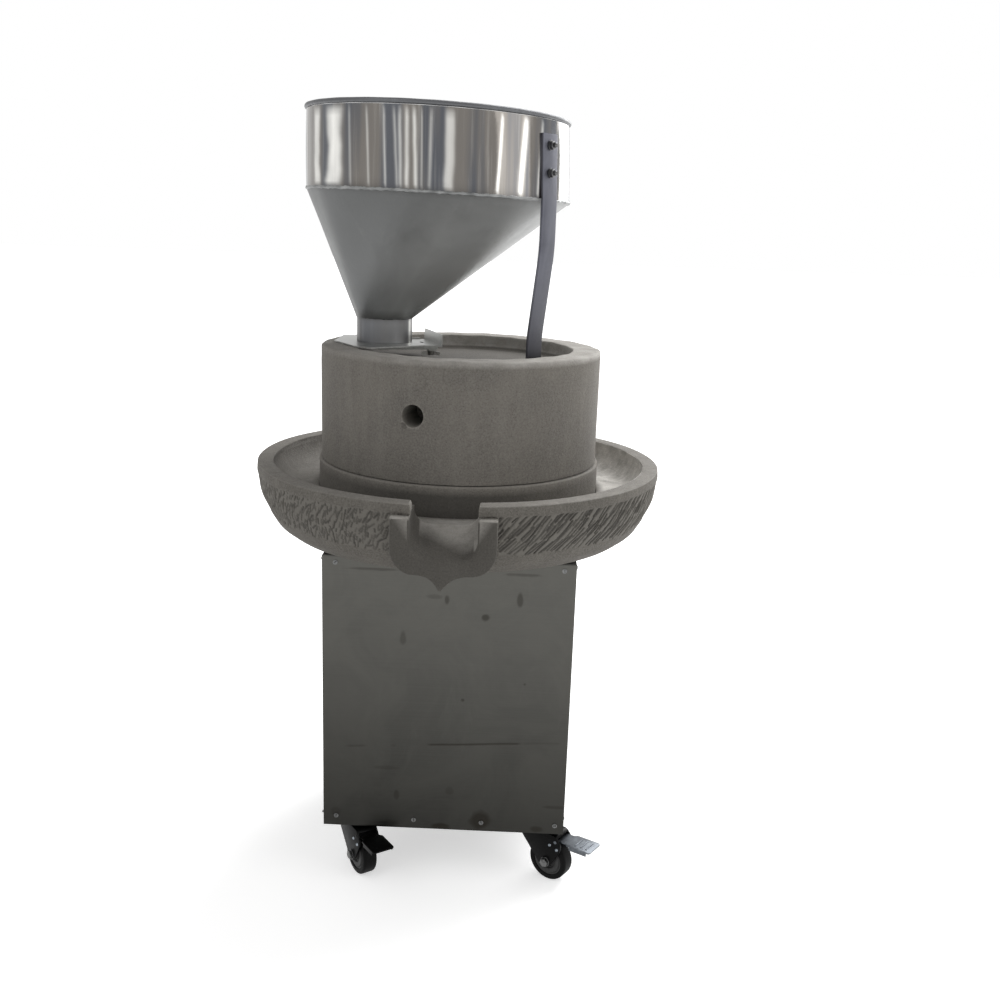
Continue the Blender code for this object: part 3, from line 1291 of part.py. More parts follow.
def pedal(name, home, spec):
    """A stamped pedal on a cross pin between the cheeks, with generic grip ridges and side flanges."""
    x, z = pedal_pivot()
    pivot = empty(f"pedal_pivot_{name}", (x, 0, z), parent=home)
    pivot.rotation_euler = (0, -PEDAL_RISE, 0)
    inner = WHEEL_WIDTH / 2 + FORK_SIDE_GAP - 0.0008
    wide = PEDAL_WIDTH / 2
    neck = 0.016
    outline = [(-0.003, -inner), (neck, -inner), (neck + 0.004, -wide), (PEDAL_LENGTH - 0.003, -wide),
               (PEDAL_LENGTH, -wide + 0.004), (PEDAL_LENGTH, wide - 0.004), (PEDAL_LENGTH - 0.003, wide),
               (neck + 0.004, wide), (neck, inner), (-0.003, inner)]
    low = 0.0005
    obj = slab(f"brake_pedal_{name}", [outline], low, low + PEDAL_SHEET, spec, parent=pivot)
    pin = rod(f"pedal_pin_{name}", (0, -inner - 0.004, 0), (0, inner + 0.004, 0), PEDAL_PIVOT_RADIUS, None,
              10, parent=pivot)
    combine(obj, pin, "UNION")

    def ridges(bm):
        for i in range(3):
            start = PEDAL_LENGTH - 0.030 + i * 0.009
            add_box(bm, (start, -wide + 0.006, low + 0.001),
                    (start + 0.004, wide - 0.006, low + PEDAL_SHEET + 0.0012))

    combine(obj, place(f"pedal_ridges_{name}", mesh_from(ridges), None, parent=pivot), "UNION")

    def flanges(bm):
        for side in (-1, 1):
            ends = sorted((side * (wide - 0.0018), side * (wide - 0.0003)))
            add_box(bm, (neck + 0.008, ends[0], low - 0.005), (PEDAL_LENGTH - 0.006, ends[1], low + 0.001))

    return combine(obj, place(f"pedal_flanges_{name}", mesh_from(flanges), None, parent=pivot), "UNION")


def casters():
    for name, at, heading, finish in caster_frames():
        caster_plate(name, at)
        home = empty(f"swivel_{name}", (*at, 0), heading)
        fork(name, home, finish is not None)
        wheel(name, home)
        axle(name, home)
        if finish:
            pedal(name, home, finish)


def smooth_group():
    """A node group that shades a shape smooth except across edges sharper than SMOOTH_ANGLE."""
    group = bpy.data.node_groups.new("smooth_by_angle", "GeometryNodeTree")
    for way in ("INPUT", "OUTPUT"):
        group.interface.new_socket("Geometry", in_out=way, socket_type="NodeSocketGeometry")
    nodes, links = group.nodes, group.links
    start = nodes.new("NodeGroupInput")
    end = nodes.new("NodeGroupOutput")
    faces = nodes.new("GeometryNodeSetShadeSmooth")
    edges = nodes.new("GeometryNodeSetShadeSmooth")
    edges.domain = "EDGE"
    angle = nodes.new("GeometryNodeInputMeshEdgeAngle")
    gentle = nodes.new("FunctionNodeCompare")
    gentle.operation = "LESS_EQUAL"
    gentle.inputs["B"].default_value = SMOOTH_ANGLE
    links.new(angle.outputs["Unsigned Angle"], gentle.inputs["A"])
    links.new(gentle.outputs["Result"], edges.inputs["Shade Smooth"])
    links.new(start.outputs["Geometry"], faces.inputs["Geometry"])
    links.new(faces.outputs["Geometry"], edges.inputs["Geometry"])
    links.new(edges.outputs["Geometry"], end.inputs["Geometry"])
    return group


def shade_smooth():
    group = smooth_group()
    for obj in bpy.data.collections["stone_flour_mill"].objects:
        if obj.type == "MESH":
            obj.modifiers.new("shading", "NODES").node_group = group


def main():
    clear_scene()
    tray()
    bed_stone()
    runner_stone()
    driver_plate()
    shafts()
    bearing_parts()
    reducer()
    motor()
    motor_end()
    motor_rotor()
    cabinet_frame()
    plates()
    panels()
    electrics()
    hopper()
    feed_plate()
    slide_gate()
    wing_screw()
    strap()
    strap_bolts()
    casters()
    shade_smooth()


main()
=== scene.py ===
import random
from math import atan2, ceil, cos, degrees, exp, hypot, pi, radians, sin, tan, tau

import bmesh
import bpy
import numpy as np
from mathutils import Matrix, Vector, noise


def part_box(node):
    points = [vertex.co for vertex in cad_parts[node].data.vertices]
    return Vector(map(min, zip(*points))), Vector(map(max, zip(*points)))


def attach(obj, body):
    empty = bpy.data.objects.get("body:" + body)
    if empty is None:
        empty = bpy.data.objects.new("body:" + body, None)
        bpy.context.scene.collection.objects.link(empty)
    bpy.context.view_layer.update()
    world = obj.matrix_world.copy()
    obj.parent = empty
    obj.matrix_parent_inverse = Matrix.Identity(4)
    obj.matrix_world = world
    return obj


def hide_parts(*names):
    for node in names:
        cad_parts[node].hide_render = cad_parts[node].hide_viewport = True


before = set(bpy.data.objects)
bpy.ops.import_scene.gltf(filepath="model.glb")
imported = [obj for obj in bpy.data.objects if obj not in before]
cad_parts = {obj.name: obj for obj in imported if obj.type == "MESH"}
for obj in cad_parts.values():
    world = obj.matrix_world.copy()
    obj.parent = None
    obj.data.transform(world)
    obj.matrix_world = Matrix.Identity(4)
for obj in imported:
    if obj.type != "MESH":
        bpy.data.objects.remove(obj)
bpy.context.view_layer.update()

AXIS = Vector((0.0, 0.0035, 0.0))      # the stones' axis
UP = Vector((0, 0, 1))
TRAY_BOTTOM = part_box("stone_tray")[0].z
TRAY_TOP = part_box("stone_tray")[1].z
BED_BOTTOM, BED_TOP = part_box("bed_stone")[0].z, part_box("bed_stone")[1].z
RUNNER_BOTTOM, RUNNER_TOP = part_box("runner_stone")[0].z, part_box("runner_stone")[1].z
CABINET_BOTTOM, CABINET_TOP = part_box("front_panel")[0].z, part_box("front_panel")[1].z
HALF = 0.178                           # half the cabinet's width
EYE = (-0.1155, 0.0035)                # the middle of the feed eye and the hopper's outlet


def turned(angle, axis="Z"):
    return Matrix.Rotation(angle, 4, axis)


def moved(x, y, z=0.0):
    return Matrix.Translation((x, y, z))


def scene_object(name, data):
    made = bpy.data.objects.new(name, data)
    bpy.context.scene.collection.objects.link(made)
    return made


def clamp(value):
    return max(0.0, min(1.0, value))


def from_axis(place):
    """How far a place lies from the stones' axis."""
    return hypot(place.x, place.y - AXIS.y)


# Materials


def material(name, roughness=0.5, metallic=0.0):
    """A new material and its tree, shader and object coordinates."""
    made = bpy.data.materials.new(name)
    made.use_nodes = True
    tree = made.node_tree
    shader = tree.nodes["Principled BSDF"]
    shader.inputs["Roughness"].default_value = roughness
    shader.inputs["Metallic"].default_value = metallic
    coordinates = tree.nodes.new("ShaderNodeTexCoord")
    return made, tree, shader, coordinates.outputs["Object"]


def put(tree, socket, value):
    if isinstance(value, bpy.types.NodeSocket):
        tree.links.new(value, socket)
    elif isinstance(value, tuple) and len(value) == 3 and socket.type == "RGBA":
        socket.default_value = (*value, 1.0)
    else:
        socket.default_value = value


def node(tree, kind, inputs, **settings):
    """A new shader node; its inputs are given by name or number."""
    made = tree.nodes.new("ShaderNode" + kind)
    for name, value in settings.items():
        setattr(made, name, value)
    for socket, value in inputs.items():
        put(tree, made.inputs[socket], value)
    return made


def stretch(tree, source, scale, turn=(0, 0, 0)):
    return node(tree, "Mapping", {"Vector": source, "Scale": scale, "Rotation": turn}).outputs[0]


def grain(tree, source, scale, detail=4.0, rough=0.55, distortion=0.0):
    return node(tree, "TexNoise", {"Vector": source, "Scale": scale, "Detail": detail, "Roughness": rough,
                                   "Distortion": distortion}).outputs["Fac"]


def cells(tree, source, scale):
    return node(tree, "TexVoronoi", {"Vector": source, "Scale": scale}).outputs["Distance"]


def ramp(tree, source, low, high, out_low=0.0, out_high=1.0):
    return node(tree, "MapRange", {"Value": source, "From Min": low, "From Max": high, "To Min": out_low,
                                   "To Max": out_high}).outputs[0]


def mix(tree, factor, first, second, mode="MIX"):
    return node(tree, "Mix", {0: factor, 6: first, 7: second}, data_type="RGBA", blend_type=mode).outputs[2]


def calc(tree, operation, first, second):
    return node(tree, "Math", {0: first, 1: second}, operation=operation).outputs[0]


def bump(tree, shader, height, distance, strength):
    made = node(tree, "Bump", {"Height": height, "Distance": distance, "Strength": strength})
    put(tree, shader.inputs["Normal"], made.outputs[0])


def attribute(tree, name):
    return node(tree, "Attribute", {}, attribute_name=name).outputs["Fac"]


def pointiness(tree):
    return node(tree, "NewGeometry", {}).outputs["Pointiness"]


def stone(name, colour, light, dark):
    """Cut sandstone: cloudy tone, fine specks, lighter worn edges, painted shade in creases, a gritty surface."""
    made, tree, shader, here = material(name, 0.9)
    cloud = grain(tree, here, 7.0, 6.0, 0.6, 0.6)
    tone = mix(tree, ramp(tree, cloud, 0.35, 0.68), dark, colour)
    streak = grain(tree, stretch(tree, here, (30, 30, 4)), 1.0, 5.0, 0.6)
    tone = mix(tree, ramp(tree, streak, 0.5, 0.8, 0.0, 0.35), tone, light)
    fine = grain(tree, here, 420.0, 3.0, 0.6)
    tone = mix(tree, ramp(tree, fine, 0.35, 0.68, 0.0, 0.45), tone, light)
    speck = cells(tree, here, 330.0)
    tone = mix(tree, ramp(tree, speck, 0.10, 0.24, 0.55, 0.0), tone, (0.035, 0.033, 0.03))
    edge = ramp(tree, pointiness(tree), 0.515, 0.58, 0.0, 0.55)
    tone = mix(tree, edge, tone, light)
    # painted shade: creases and hollows darker, found by pointiness
    crease = ramp(tree, pointiness(tree), 0.42, 0.49, 0.4, 0.0)
    tone = mix(tree, crease, tone, (0.03, 0.028, 0.025))
    # ridge: painted highlights where the mesh marks the ridges between chisel strokes
    tone = mix(tree, attribute(tree, "ridge"), tone, light)
    # painted shade: darker where the mesh marks grooves, the channel, the dish and the stone below the joint
    tone = mix(tree, attribute(tree, "painted_shade"), tone, (0.022, 0.020, 0.017))
    patchy = ramp(tree, grain(tree, here, 45.0, 5.0, 0.65), 0.3, 0.65, 0.55, 1.25)
    # dust: flour dust, which the marks also use as painted light on the lit side and a lit patch
    tone = mix(tree, calc(tree, "MULTIPLY", attribute(tree, "dust"), patchy), tone, (0.62, 0.60, 0.565))
    put(tree, shader.inputs["Base Color"], tone)
    put(tree, shader.inputs["Roughness"], ramp(tree, cloud, 0.3, 0.7, 0.82, 0.95))
    height = calc(tree, "ADD", calc(tree, "MULTIPLY", fine, 0.5), grain(tree, here, 130.0, 5.0, 0.6))
    height = calc(tree, "SUBTRACT", height, ramp(tree, speck, 0.06, 0.2, 0.35, 0.0))
    bump(tree, shader, height, 0.0011, 0.9)
    return made


def sheet_steel(name, colour, dark, light, roughness, brushed=(2, 2, 900), scratch=0.25, metallic=1.0, foot=False):
    """Brushed sheet; the mesh says where it is stained or lightened as painted light, and foot paints shade, darker
    towards the floor.
    """
    made, tree, shader, here = material(name, roughness, metallic)
    lines = grain(tree, stretch(tree, here, brushed), 1.0, 3.0, 0.7)
    cloud = grain(tree, here, 9.0, 7.0, 0.62, 1.2)
    tone = mix(tree, ramp(tree, cloud, 0.36, 0.66), dark, colour)
    tone = mix(tree, ramp(tree, lines, 0.4, 0.75, 0.0, scratch), tone, light)
    smear = grain(tree, stretch(tree, here, (14, 14, 5), (0.2, 0.5, 0.3)), 1.0, 6.0, 0.7, 1.5)
    tone = mix(tree, ramp(tree, smear, 0.58, 0.74, 0.0, 0.12), tone, light)
    # bright: painted light, lighter where the mesh marks it
    tone = mix(tree, attribute(tree, "bright"), tone, light)
    # foot: painted shade, the sheet darker towards the floor
    if foot:
        height = node(tree, "SeparateXYZ", {0: here}).outputs[2]
        share = calc(tree, "ADD", ramp(tree, height, 0.10, 0.35, 0.48, 1.0),
                     ramp(tree, height, 0.35, 0.50, 0.0, 0.22))
        tone = mix(tree, 1.0, tone, share, "MULTIPLY")
    tone = mix(tree, attribute(tree, "stain"), tone, (0.018, 0.016, 0.013))
    put(tree, shader.inputs["Base Color"], tone)
    rough = calc(tree, "ADD", ramp(tree, cloud, 0.3, 0.7, roughness - 0.08, roughness + 0.1),
                 ramp(tree, lines, 0.3, 0.7, -0.04, 0.05))
    put(tree, shader.inputs["Roughness"], rough)
    height = calc(tree, "ADD", calc(tree, "MULTIPLY", lines, 0.2), grain(tree, here, 25.0, 2.0))
    bump(tree, shader, height, 0.0006, 0.35)
    return made


def polished(name):
    """Mirror-rolled sheet with painted reflections: grey and warm panels, lighter upright streaks, soft waviness."""
    made, tree, shader, here = material(name, 0.16, 1.0)
    wide = grain(tree, stretch(tree, here, (36, 36, 1.5)), 1.0, 2.0, 0.5)
    fine = grain(tree, stretch(tree, here, (170, 170, 3.0)), 1.0, 3.0, 0.6)
    # painted reflections: grey and warm panels with lighter upright streaks
    tone = mix(tree, ramp(tree, wide, 0.42, 0.58), (0.105, 0.110, 0.122), (0.185, 0.172, 0.158))
    tone = mix(tree, ramp(tree, fine, 0.52, 0.78, 0.0, 0.30), tone, (0.42, 0.41, 0.39))
    dull = attribute(tree, "dull")
    tone = mix(tree, dull, tone, (0.105, 0.107, 0.112))
    # bright: painted reflections, near white where the mesh marks them
    tone = mix(tree, attribute(tree, "bright"), tone, (0.93, 0.92, 0.88))
    tone = mix(tree, attribute(tree, "stain"), tone, (0.05, 0.048, 0.045))
    put(tree, shader.inputs["Base Color"], tone)
    put(tree, shader.inputs["Roughness"], calc(tree, "ADD", ramp(tree, fine, 0.3, 0.7, 0.10, 0.24),
                                               calc(tree, "MULTIPLY", dull, 0.3)))
    height = calc(tree, "ADD", wide, calc(tree, "MULTIPLY", grain(tree, here, 60.0, 2.0), 0.3))
    bump(tree, shader, height, 0.0012, 0.35)
    return made


def painted(name, colour, light, roughness, bumps=500.0, depth=0.0002, shine=0.5):
    """Paint or plastic with fine texture, dusty clouds and worn edges."""
    made, tree, shader, here = material(name, roughness)
    shader.inputs["Specular IOR Level"].default_value = shine
    dust = grain(tree, here, 22.0, 6.0, 0.6)
    tone = mix(tree, ramp(tree, dust, 0.45, 0.75, 0.0, 0.5), colour, light)
    worn = ramp(tree, pointiness(tree), 0.53, 0.6, 0.0, 0.6)
    tone = mix(tree, worn, tone, light)
    put(tree, shader.inputs["Base Color"], tone)
    put(tree, shader.inputs["Roughness"], ramp(tree, dust, 0.3, 0.8, roughness - 0.06, roughness + 0.15))
    bump(tree, shader, grain(tree, here, bumps, 3.0), depth, 0.6)
    return made


def bare_metal(name, colour, dark, roughness, scale=60.0):
    """Turned, plated or cast metal with patchy tone and small scratches."""
    made, tree, shader, here = material(name, roughness, 1.0)
    patch = grain(tree, here, scale, 5.0, 0.6, 0.8)
    fine = grain(tree, stretch(tree, here, (900, 900, 120)), 1.0, 3.0)
    tone = mix(tree, ramp(tree, patch, 0.36, 0.66), dark, colour)
    tone = mix(tree, ramp(tree, fine, 0.5, 0.8, 0.0, 0.35), tone, dark)
    tone = mix(tree, attribute(tree, "dull"), tone, (0.045, 0.046, 0.05))
    put(tree, shader.inputs["Base Color"], tone)
    put(tree, shader.inputs["Roughness"], ramp(tree, patch, 0.3, 0.7, roughness - 0.06, roughness + 0.12))
    bump(tree, shader, fine, 0.0002, 0.5)
    return made


FINISHES = {
    "stone": stone("runner_stone_face", (0.152, 0.140, 0.122), (0.24, 0.225, 0.20), (0.098, 0.090, 0.079)),
    "tray_stone": stone("tray_stone_face", (0.108, 0.099, 0.086), (0.21, 0.197, 0.173), (0.078, 0.071, 0.061)),
    "cabinet_steel": sheet_steel("cabinet_sheet", (0.080, 0.0785, 0.0715), (0.062, 0.061, 0.056),
                                 (0.115, 0.113, 0.104), 0.42, (3, 3, 700), 0.14, foot=True),
    "cone_steel": sheet_steel("cone_sheet", (0.076, 0.079, 0.079), (0.062, 0.065, 0.066), (0.36, 0.365, 0.36), 0.42,
                              (260, 260, 6), 0.05, metallic=0.5),
    "gate_steel": sheet_steel("gate_sheet", (0.32, 0.322, 0.308), (0.22, 0.223, 0.215), (0.52, 0.525, 0.51), 0.34,
                              (40, 700, 40), 0.3),
    "strap_steel": sheet_steel("strap_bar", (0.095, 0.097, 0.115), (0.06, 0.061, 0.075), (0.24, 0.245, 0.28), 0.42,
                               (60, 60, 8), 0.15),
    "polished_steel": polished("polished_sheet"),
    "bright_steel": bare_metal("bright_screw", (0.55, 0.55, 0.53), (0.25, 0.25, 0.24), 0.28),
    "zinc": bare_metal("zinc_plate", (0.34, 0.375, 0.41), (0.17, 0.19, 0.215), 0.30, 90.0),
    "cast_iron": painted("cast_housing", (0.10, 0.115, 0.13), (0.16, 0.17, 0.18), 0.5, 300.0, 0.0006),
    "terminal_box": painted("terminal_grey", (0.11, 0.12, 0.13), (0.18, 0.18, 0.18), 0.45),
    "frame_paint": painted("frame_grey", (0.085, 0.085, 0.083), (0.15, 0.145, 0.135), 0.55, 260.0, 0.0003),
    "black_paint": painted("fork_black", (0.002, 0.002, 0.002), (0.005, 0.005, 0.005), 0.30, 300.0, 0.0002, 0.08),
    "black_plastic": painted("black_plastic", (0.012, 0.012, 0.013), (0.03, 0.03, 0.03), 0.42, 900.0, 0.00015, 0.3),
    "tyre": painted("tyre_black", (0.003, 0.003, 0.003), (0.008, 0.008, 0.008), 0.5, 400.0, 0.0003, 0.08),
    "wheel_grey": painted("wheel_grey", (0.05, 0.05, 0.05), (0.08, 0.079, 0.076), 0.4, 500.0, 0.0002, 0.15),
}


# Mesh helpers


def piece(name, mesh, slot, body, *nodes, smooth=35):
    """A new piece that rides on a body and stands for CAD nodes."""
    if smooth:
        mesh.shade_smooth()
        mesh.set_sharp_from_angle(angle=radians(smooth))
    obj = scene_object(name, mesh)
    mesh.materials.clear()
    mesh.materials.append(FINISHES[slot])
    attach(obj, body)
    if nodes:
        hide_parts(*nodes)
    return obj


def mesh_of(build):
    bm = bmesh.new()
    build(bm)
    bmesh.ops.recalc_face_normals(bm, faces=bm.faces)
    mesh = bpy.data.meshes.new("mesh")
    bm.to_mesh(mesh)
    bm.free()
    return mesh


def mesh_data(verts, faces):
    mesh = bpy.data.meshes.new("mesh")
    mesh.from_pydata([tuple(v) for v in verts], [], [tuple(int(i) for i in f) for f in faces])
    mesh.validate()
    mesh.update()
    return mesh


def mark(mesh, label, values):
    """Stores one number per vertex for the materials to read: a list, or a function of the place."""
    if callable(values):
        values = [clamp(values(v.co)) for v in mesh.vertices]
    layer = mesh.attributes.new(label, "FLOAT", "POINT")
    layer.data.foreach_set("value", values)


def baked(obj):
    """The mesh an object comes to with its modifiers or curve settings; the object goes."""
    bpy.context.view_layer.update()
    mesh = bpy.data.meshes.new_from_object(obj.evaluated_get(bpy.context.evaluated_depsgraph_get()))
    bpy.data.objects.remove(obj)
    return mesh


def cut(mesh, other, operation="DIFFERENCE"):
    """The mesh joined with, or cut by, another closed mesh."""
    keep, tool = scene_object("keep", mesh), scene_object("tool", other)
    modifier = keep.modifiers.new("cut", "BOOLEAN")
    modifier.operation = operation
    modifier.object = tool
    modifier.solver = "EXACT"
    result = baked(keep)
    bpy.data.objects.remove(tool)
    return result


def modified(mesh, **modifiers):
    """The mesh with modifiers applied: name of the kind to its settings."""
    obj = scene_object("work", mesh)
    for kind, settings in modifiers.items():
        modifier = obj.modifiers.new(kind, kind)
        for key, value in settings.items():
            setattr(modifier, key, value)
    return baked(obj)


def rounded(points, steps=4, closed=True):
    """A path whose corners with a third number are rounded by that radius."""
    found = []
    count = len(points)
    for i, point in enumerate(points):
        here = Vector(point[:2])
        if len(point) < 3 or (not closed and i in (0, count - 1)):
            found.append(tuple(here))
            continue
        before = Vector(points[i - 1][:2]) - here
        after = Vector(points[(i + 1) % count][:2]) - here
        reach = min(point[2], before.length * 0.49, after.length * 0.49)
        start = here + before.normalized() * reach
        end = here + after.normalized() * reach
        for k in range(steps + 1):
            t = k / steps
            found.append(tuple(start * (1 - t) ** 2 + here * (2 * t * (1 - t)) + end * t * t))
    return found


def resampled(points, step, closed=True):
    """A path with its long stretches divided; step may be a function of a stretch's middle."""
    found = []
    last = len(points) if closed else len(points) - 1
    for i in range(last):
        a, b = Vector(points[i]), Vector(points[(i + 1) % len(points)])
        size = step((a + b) / 2) if callable(step) else step
        pieces = max(1, ceil((b - a).length / size))
        found += [tuple(a.lerp(b, k / pieces)) for k in range(pieces)]
    if not closed:
        found.append(tuple(points[-1]))
    return found


def lathe(profile, segments, centre=AXIS, closed=True, warp=None):
    """A (radius, height) path turned round a vertical line; warp(radius, angle, height) moves the points."""
    path = np.array(profile, float)
    angles = np.arange(segments) * (tau / segments)
    radius, angle = np.meshgrid(path[:, 0], angles, indexing="ij")
    height = np.repeat(path[:, 1:2], segments, axis=1)
    if warp:
        radius, height = warp(radius, angle, height)
    verts = np.stack((centre[0] + radius * np.cos(angle), centre[1] + radius * np.sin(angle), height), -1)
    rows = len(path)
    index = np.arange(rows * segments).reshape(rows, segments)
    upper = index if closed else index[:-1]
    lower = np.roll(index, -1, axis=0) if closed else index[1:]
    beside = np.roll(upper, -1, axis=1)
    below = np.roll(lower, -1, axis=1)
    faces = np.stack((upper, lower, below, beside), -1).reshape(-1, 4)

    def build(bm):
        made = [bm.verts.new(v) for v in verts.reshape(-1, 3)]
        for face in faces:
            try:
                bm.faces.new([made[i] for i in face])
            except ValueError:
                continue
        bmesh.ops.remove_doubles(bm, verts=[v for i in (0, rows - 1) for v in made[i * segments:(i + 1) * segments]
                                            if path[i, 0] < 1e-6], dist=1e-6)

    return mesh_of(build)


def add_rod(bm, start, end, radius, segments=24, end_radius=None, edge=0.0):
    """A rod with its end edges turned over by a small chamfer."""
    start, end = Vector(start), Vector(end)
    line = end - start
    turn = line.to_track_quat("Z", "Y").to_matrix()
    far = radius if end_radius is None else end_radius
    rows = [(0, 0.0), (radius - edge, 0.0), (radius, edge), (far, line.length - edge), (far - edge, line.length),
            (0, line.length)]
    if not edge:
        rows = [(0, 0.0), (radius, 0.0), (far, line.length), (0, line.length)]
    before = None
    for r, h in rows:
        if r < 1e-7:
            ringed = [bm.verts.new(start + turn @ Vector((0, 0, h)))]
        else:
            ringed = [bm.verts.new(start + turn @ Vector((r * cos(tau * i / segments),
                                                          r * sin(tau * i / segments), h)))
                      for i in range(segments)]
        if before:
            for i in range(segments):
                j = (i + 1) % segments
                corners = [before[i % len(before)], before[j % len(before)], ringed[j % len(ringed)],
                           ringed[i % len(ringed)]]
                bm.faces.new(list(dict.fromkeys(corners)))
        before = ringed


def rod(*sizes):
    return mesh_of(lambda bm: add_rod(bm, *sizes))


def block(*sizes):
    return mesh_of(lambda bm: add_box(bm, *sizes))


def add_box(bm, low, high, turn=None):
    size = [h - l for l, h in zip(low, high)]
    middle = [(h + l) / 2 for l, h in zip(low, high)]
    move = Matrix.Translation(middle) @ Matrix.Diagonal((*size, 1))
    return bmesh.ops.create_cube(bm, size=1, matrix=(turn @ move) if turn else move)


def prism(outline, low, high, turn=None):
    """A flat outline made solid from low to high along its own Z."""
    curve = bpy.data.curves.new("outline", "CURVE")
    curve.dimensions = "2D"
    curve.fill_mode = "BOTH"
    curve.extrude = (high - low) / 2
    spline = curve.splines.new("POLY")
    spline.points.add(len(outline) - 1)
    for point, place in zip(spline.points, outline):
        point.co = (*place, 0, 1)
    spline.use_cyclic_u = True
    mesh = baked(scene_object("helper", curve))
    bm = bmesh.new()
    bm.from_mesh(mesh)
    bmesh.ops.remove_doubles(bm, verts=bm.verts, dist=1e-6)
    bmesh.ops.translate(bm, verts=bm.verts, vec=(0, 0, (low + high) / 2))
    if turn:
        bmesh.ops.transform(bm, verts=bm.verts, matrix=turn)
    bmesh.ops.recalc_face_normals(bm, faces=bm.faces)
    bm.to_mesh(mesh)
    bm.free()
    return mesh


def joined(*meshes):
    bm = bmesh.new()
    for mesh in meshes:
        bm.from_mesh(mesh)
    made = bpy.data.meshes.new("joined")
    bm.to_mesh(made)
    bm.free()
    return made


def arc(centre, radius, start, end, steps):
    rx, ry = radius if isinstance(radius, tuple) else (radius, radius)
    return [(centre[0] + rx * cos(radians(start + (end - start) * i / steps)),
             centre[1] + ry * sin(radians(start + (end - start) * i / steps))) for i in range(steps + 1)]


def bezier(points, steps):
    found = []
    for i in range(1, steps + 1):
        t = i / steps
        weights = ((1 - t) ** 3, 3 * t * (1 - t) ** 2, 3 * t * t * (1 - t), t ** 3)
        found.append(tuple(sum(w * p[axis] for w, p in zip(weights, points)) for axis in (0, 1)))
    return found


def mirrored(half):
    return half + [(-x, y) for x, y in reversed(half) if x > 1e-7]


UPRIGHT = turned(radians(90), "X")


# Stone tray


TRAY_RADIUS = 0.300
EAR_TOP = TRAY_TOP - 0.015             # the top of the spout's ears
SPOUT_FRONT, SPOUT_LENGTH = -0.308, 0.068


def chisel_depths(angle, height, low, high):
    """Depth of the mason's strokes on the tray's outer wall, on a grid of angles and heights."""
    dice = random.Random(11)
    depth = np.zeros_like(angle)
    arc_at = angle * TRAY_RADIUS
    total = tau * TRAY_RADIUS
    strokes = []
    for row in range(6):
        z = low + (high - low) * (0.08 + 0.168 * row)
        at = dice.uniform(0, 0.005)
        while at < total:
            facing = at / TRAY_RADIUS
            pocked = cos(facing) < -0.2 and sin(facing) < 0.6
            if pocked or row % 2:
                strokes.append((at, z + dice.gauss(0, 0.004), pocked))
            at += dice.uniform(0.0030, 0.0060)
    for at, z, pocked in strokes:
        length = dice.uniform(0.005, 0.012) if pocked else dice.uniform(0.018, 0.032)
        lean = radians(dice.gauss(62, 16) if pocked else dice.gauss(50, 5))
        half = dice.uniform(0.0010, 0.0018)
        deep = dice.uniform(0.0006, 0.0014) if pocked else dice.uniform(0.0008, 0.0021)
        du, dv = cos(lean), sin(lean)
        near_u = (arc_at - at + total / 2) % total - total / 2
        columns = np.where(np.abs(near_u[0]) < length)[0]
        rows = np.where(np.abs(height[:, 0] - z) < length * 0.6)[0]
        if not len(columns) or not len(rows):
            continue
        grid = np.ix_(rows, columns)
        u = near_u[grid]
        v = height[grid] - z
        along = u * du + v * dv
        aside = -u * dv + v * du
        over = np.maximum(np.abs(along) - length / 2, 0)
        share = np.clip(1 - (aside ** 2 + over ** 2) / half ** 2, 0, 1)
        depth[grid] = np.maximum(depth[grid], deep * share)
    return depth


def tray_profile():
    top = TRAY_TOP
    outside = [(0.277, top, 0.0015), (TRAY_RADIUS, top, 0.0016), (0.301, top - 0.012, 0.003),
               (0.297, top - 0.044, 0.01), (0.283, top - 0.072, 0.002), (0.274, top - 0.087, 0.004),
               (0.252, top - 0.1035, 0.010), (0.205, TRAY_BOTTOM, 0.002)]
    middle = [(0.045, TRAY_BOTTOM), (0.045, top - 0.055), (0.2103, top - 0.055), (0.2103, top - 0.040, 0.001)]
    bowl = arc((0.246, top), (0.031, 0.040), -90, 0, 10)[:-1]
    return rounded(outside + middle + bowl)


def tray():
    top = TRAY_TOP
    band_low, band_high = top - 0.0715, top - 0.0125
    chiselled = {}

    def step(point):
        if point.x > 0.27 and band_low - 0.004 < point.y < band_high + 0.004:
            return 0.0013
        return 0.012

    def warp(radius, angle, height):
        outer = (radius > 0.2765) | ((radius > 0.24) & (height < top - 0.045))
        rows = (height[:, 0] > band_low - 0.002) & (height[:, 0] < band_high + 0.002) & (radius[:, 0] > 0.2785)
        depth = np.zeros_like(radius)
        depth[rows] = chisel_depths(angle[rows], height[rows], band_low, band_high)
        ragged = 0.0012 * np.sin(angle * 7.3 + 1) * np.sin(angle * 3.1) + 0.0005 * np.sin(angle * 41)
        fade = np.clip((height - band_low + ragged) / 0.0025, 0, 1)
        fade = fade * np.clip((band_high + ragged - height) / 0.0025, 0, 1)
        sunk = np.where(rows[:, None], 0.0007 * fade, 0)
        chiselled.update(height=height[rows, 0], depth=depth[rows] * fade[rows], band=fade[rows])
        wave = 0.0004 * np.sin(angle * 5 + 0.7) + 0.0003 * np.sin(angle * 11 + 2.1)
        return radius - depth * fade - sunk + np.where(outer, wave, 0), height

    segments = 1440
    profile = resampled(tray_profile(), step)
    mesh = lathe(profile, segments, warp=warp)
    mesh = cut(mesh, spout_block(), "UNION")
    mesh = cut(mesh, channel_cutter())
    mark_strokes(mesh, chiselled, segments)
    piece("tray_carved", mesh, "tray_stone", "mill_base", "stone_tray", smooth=40)


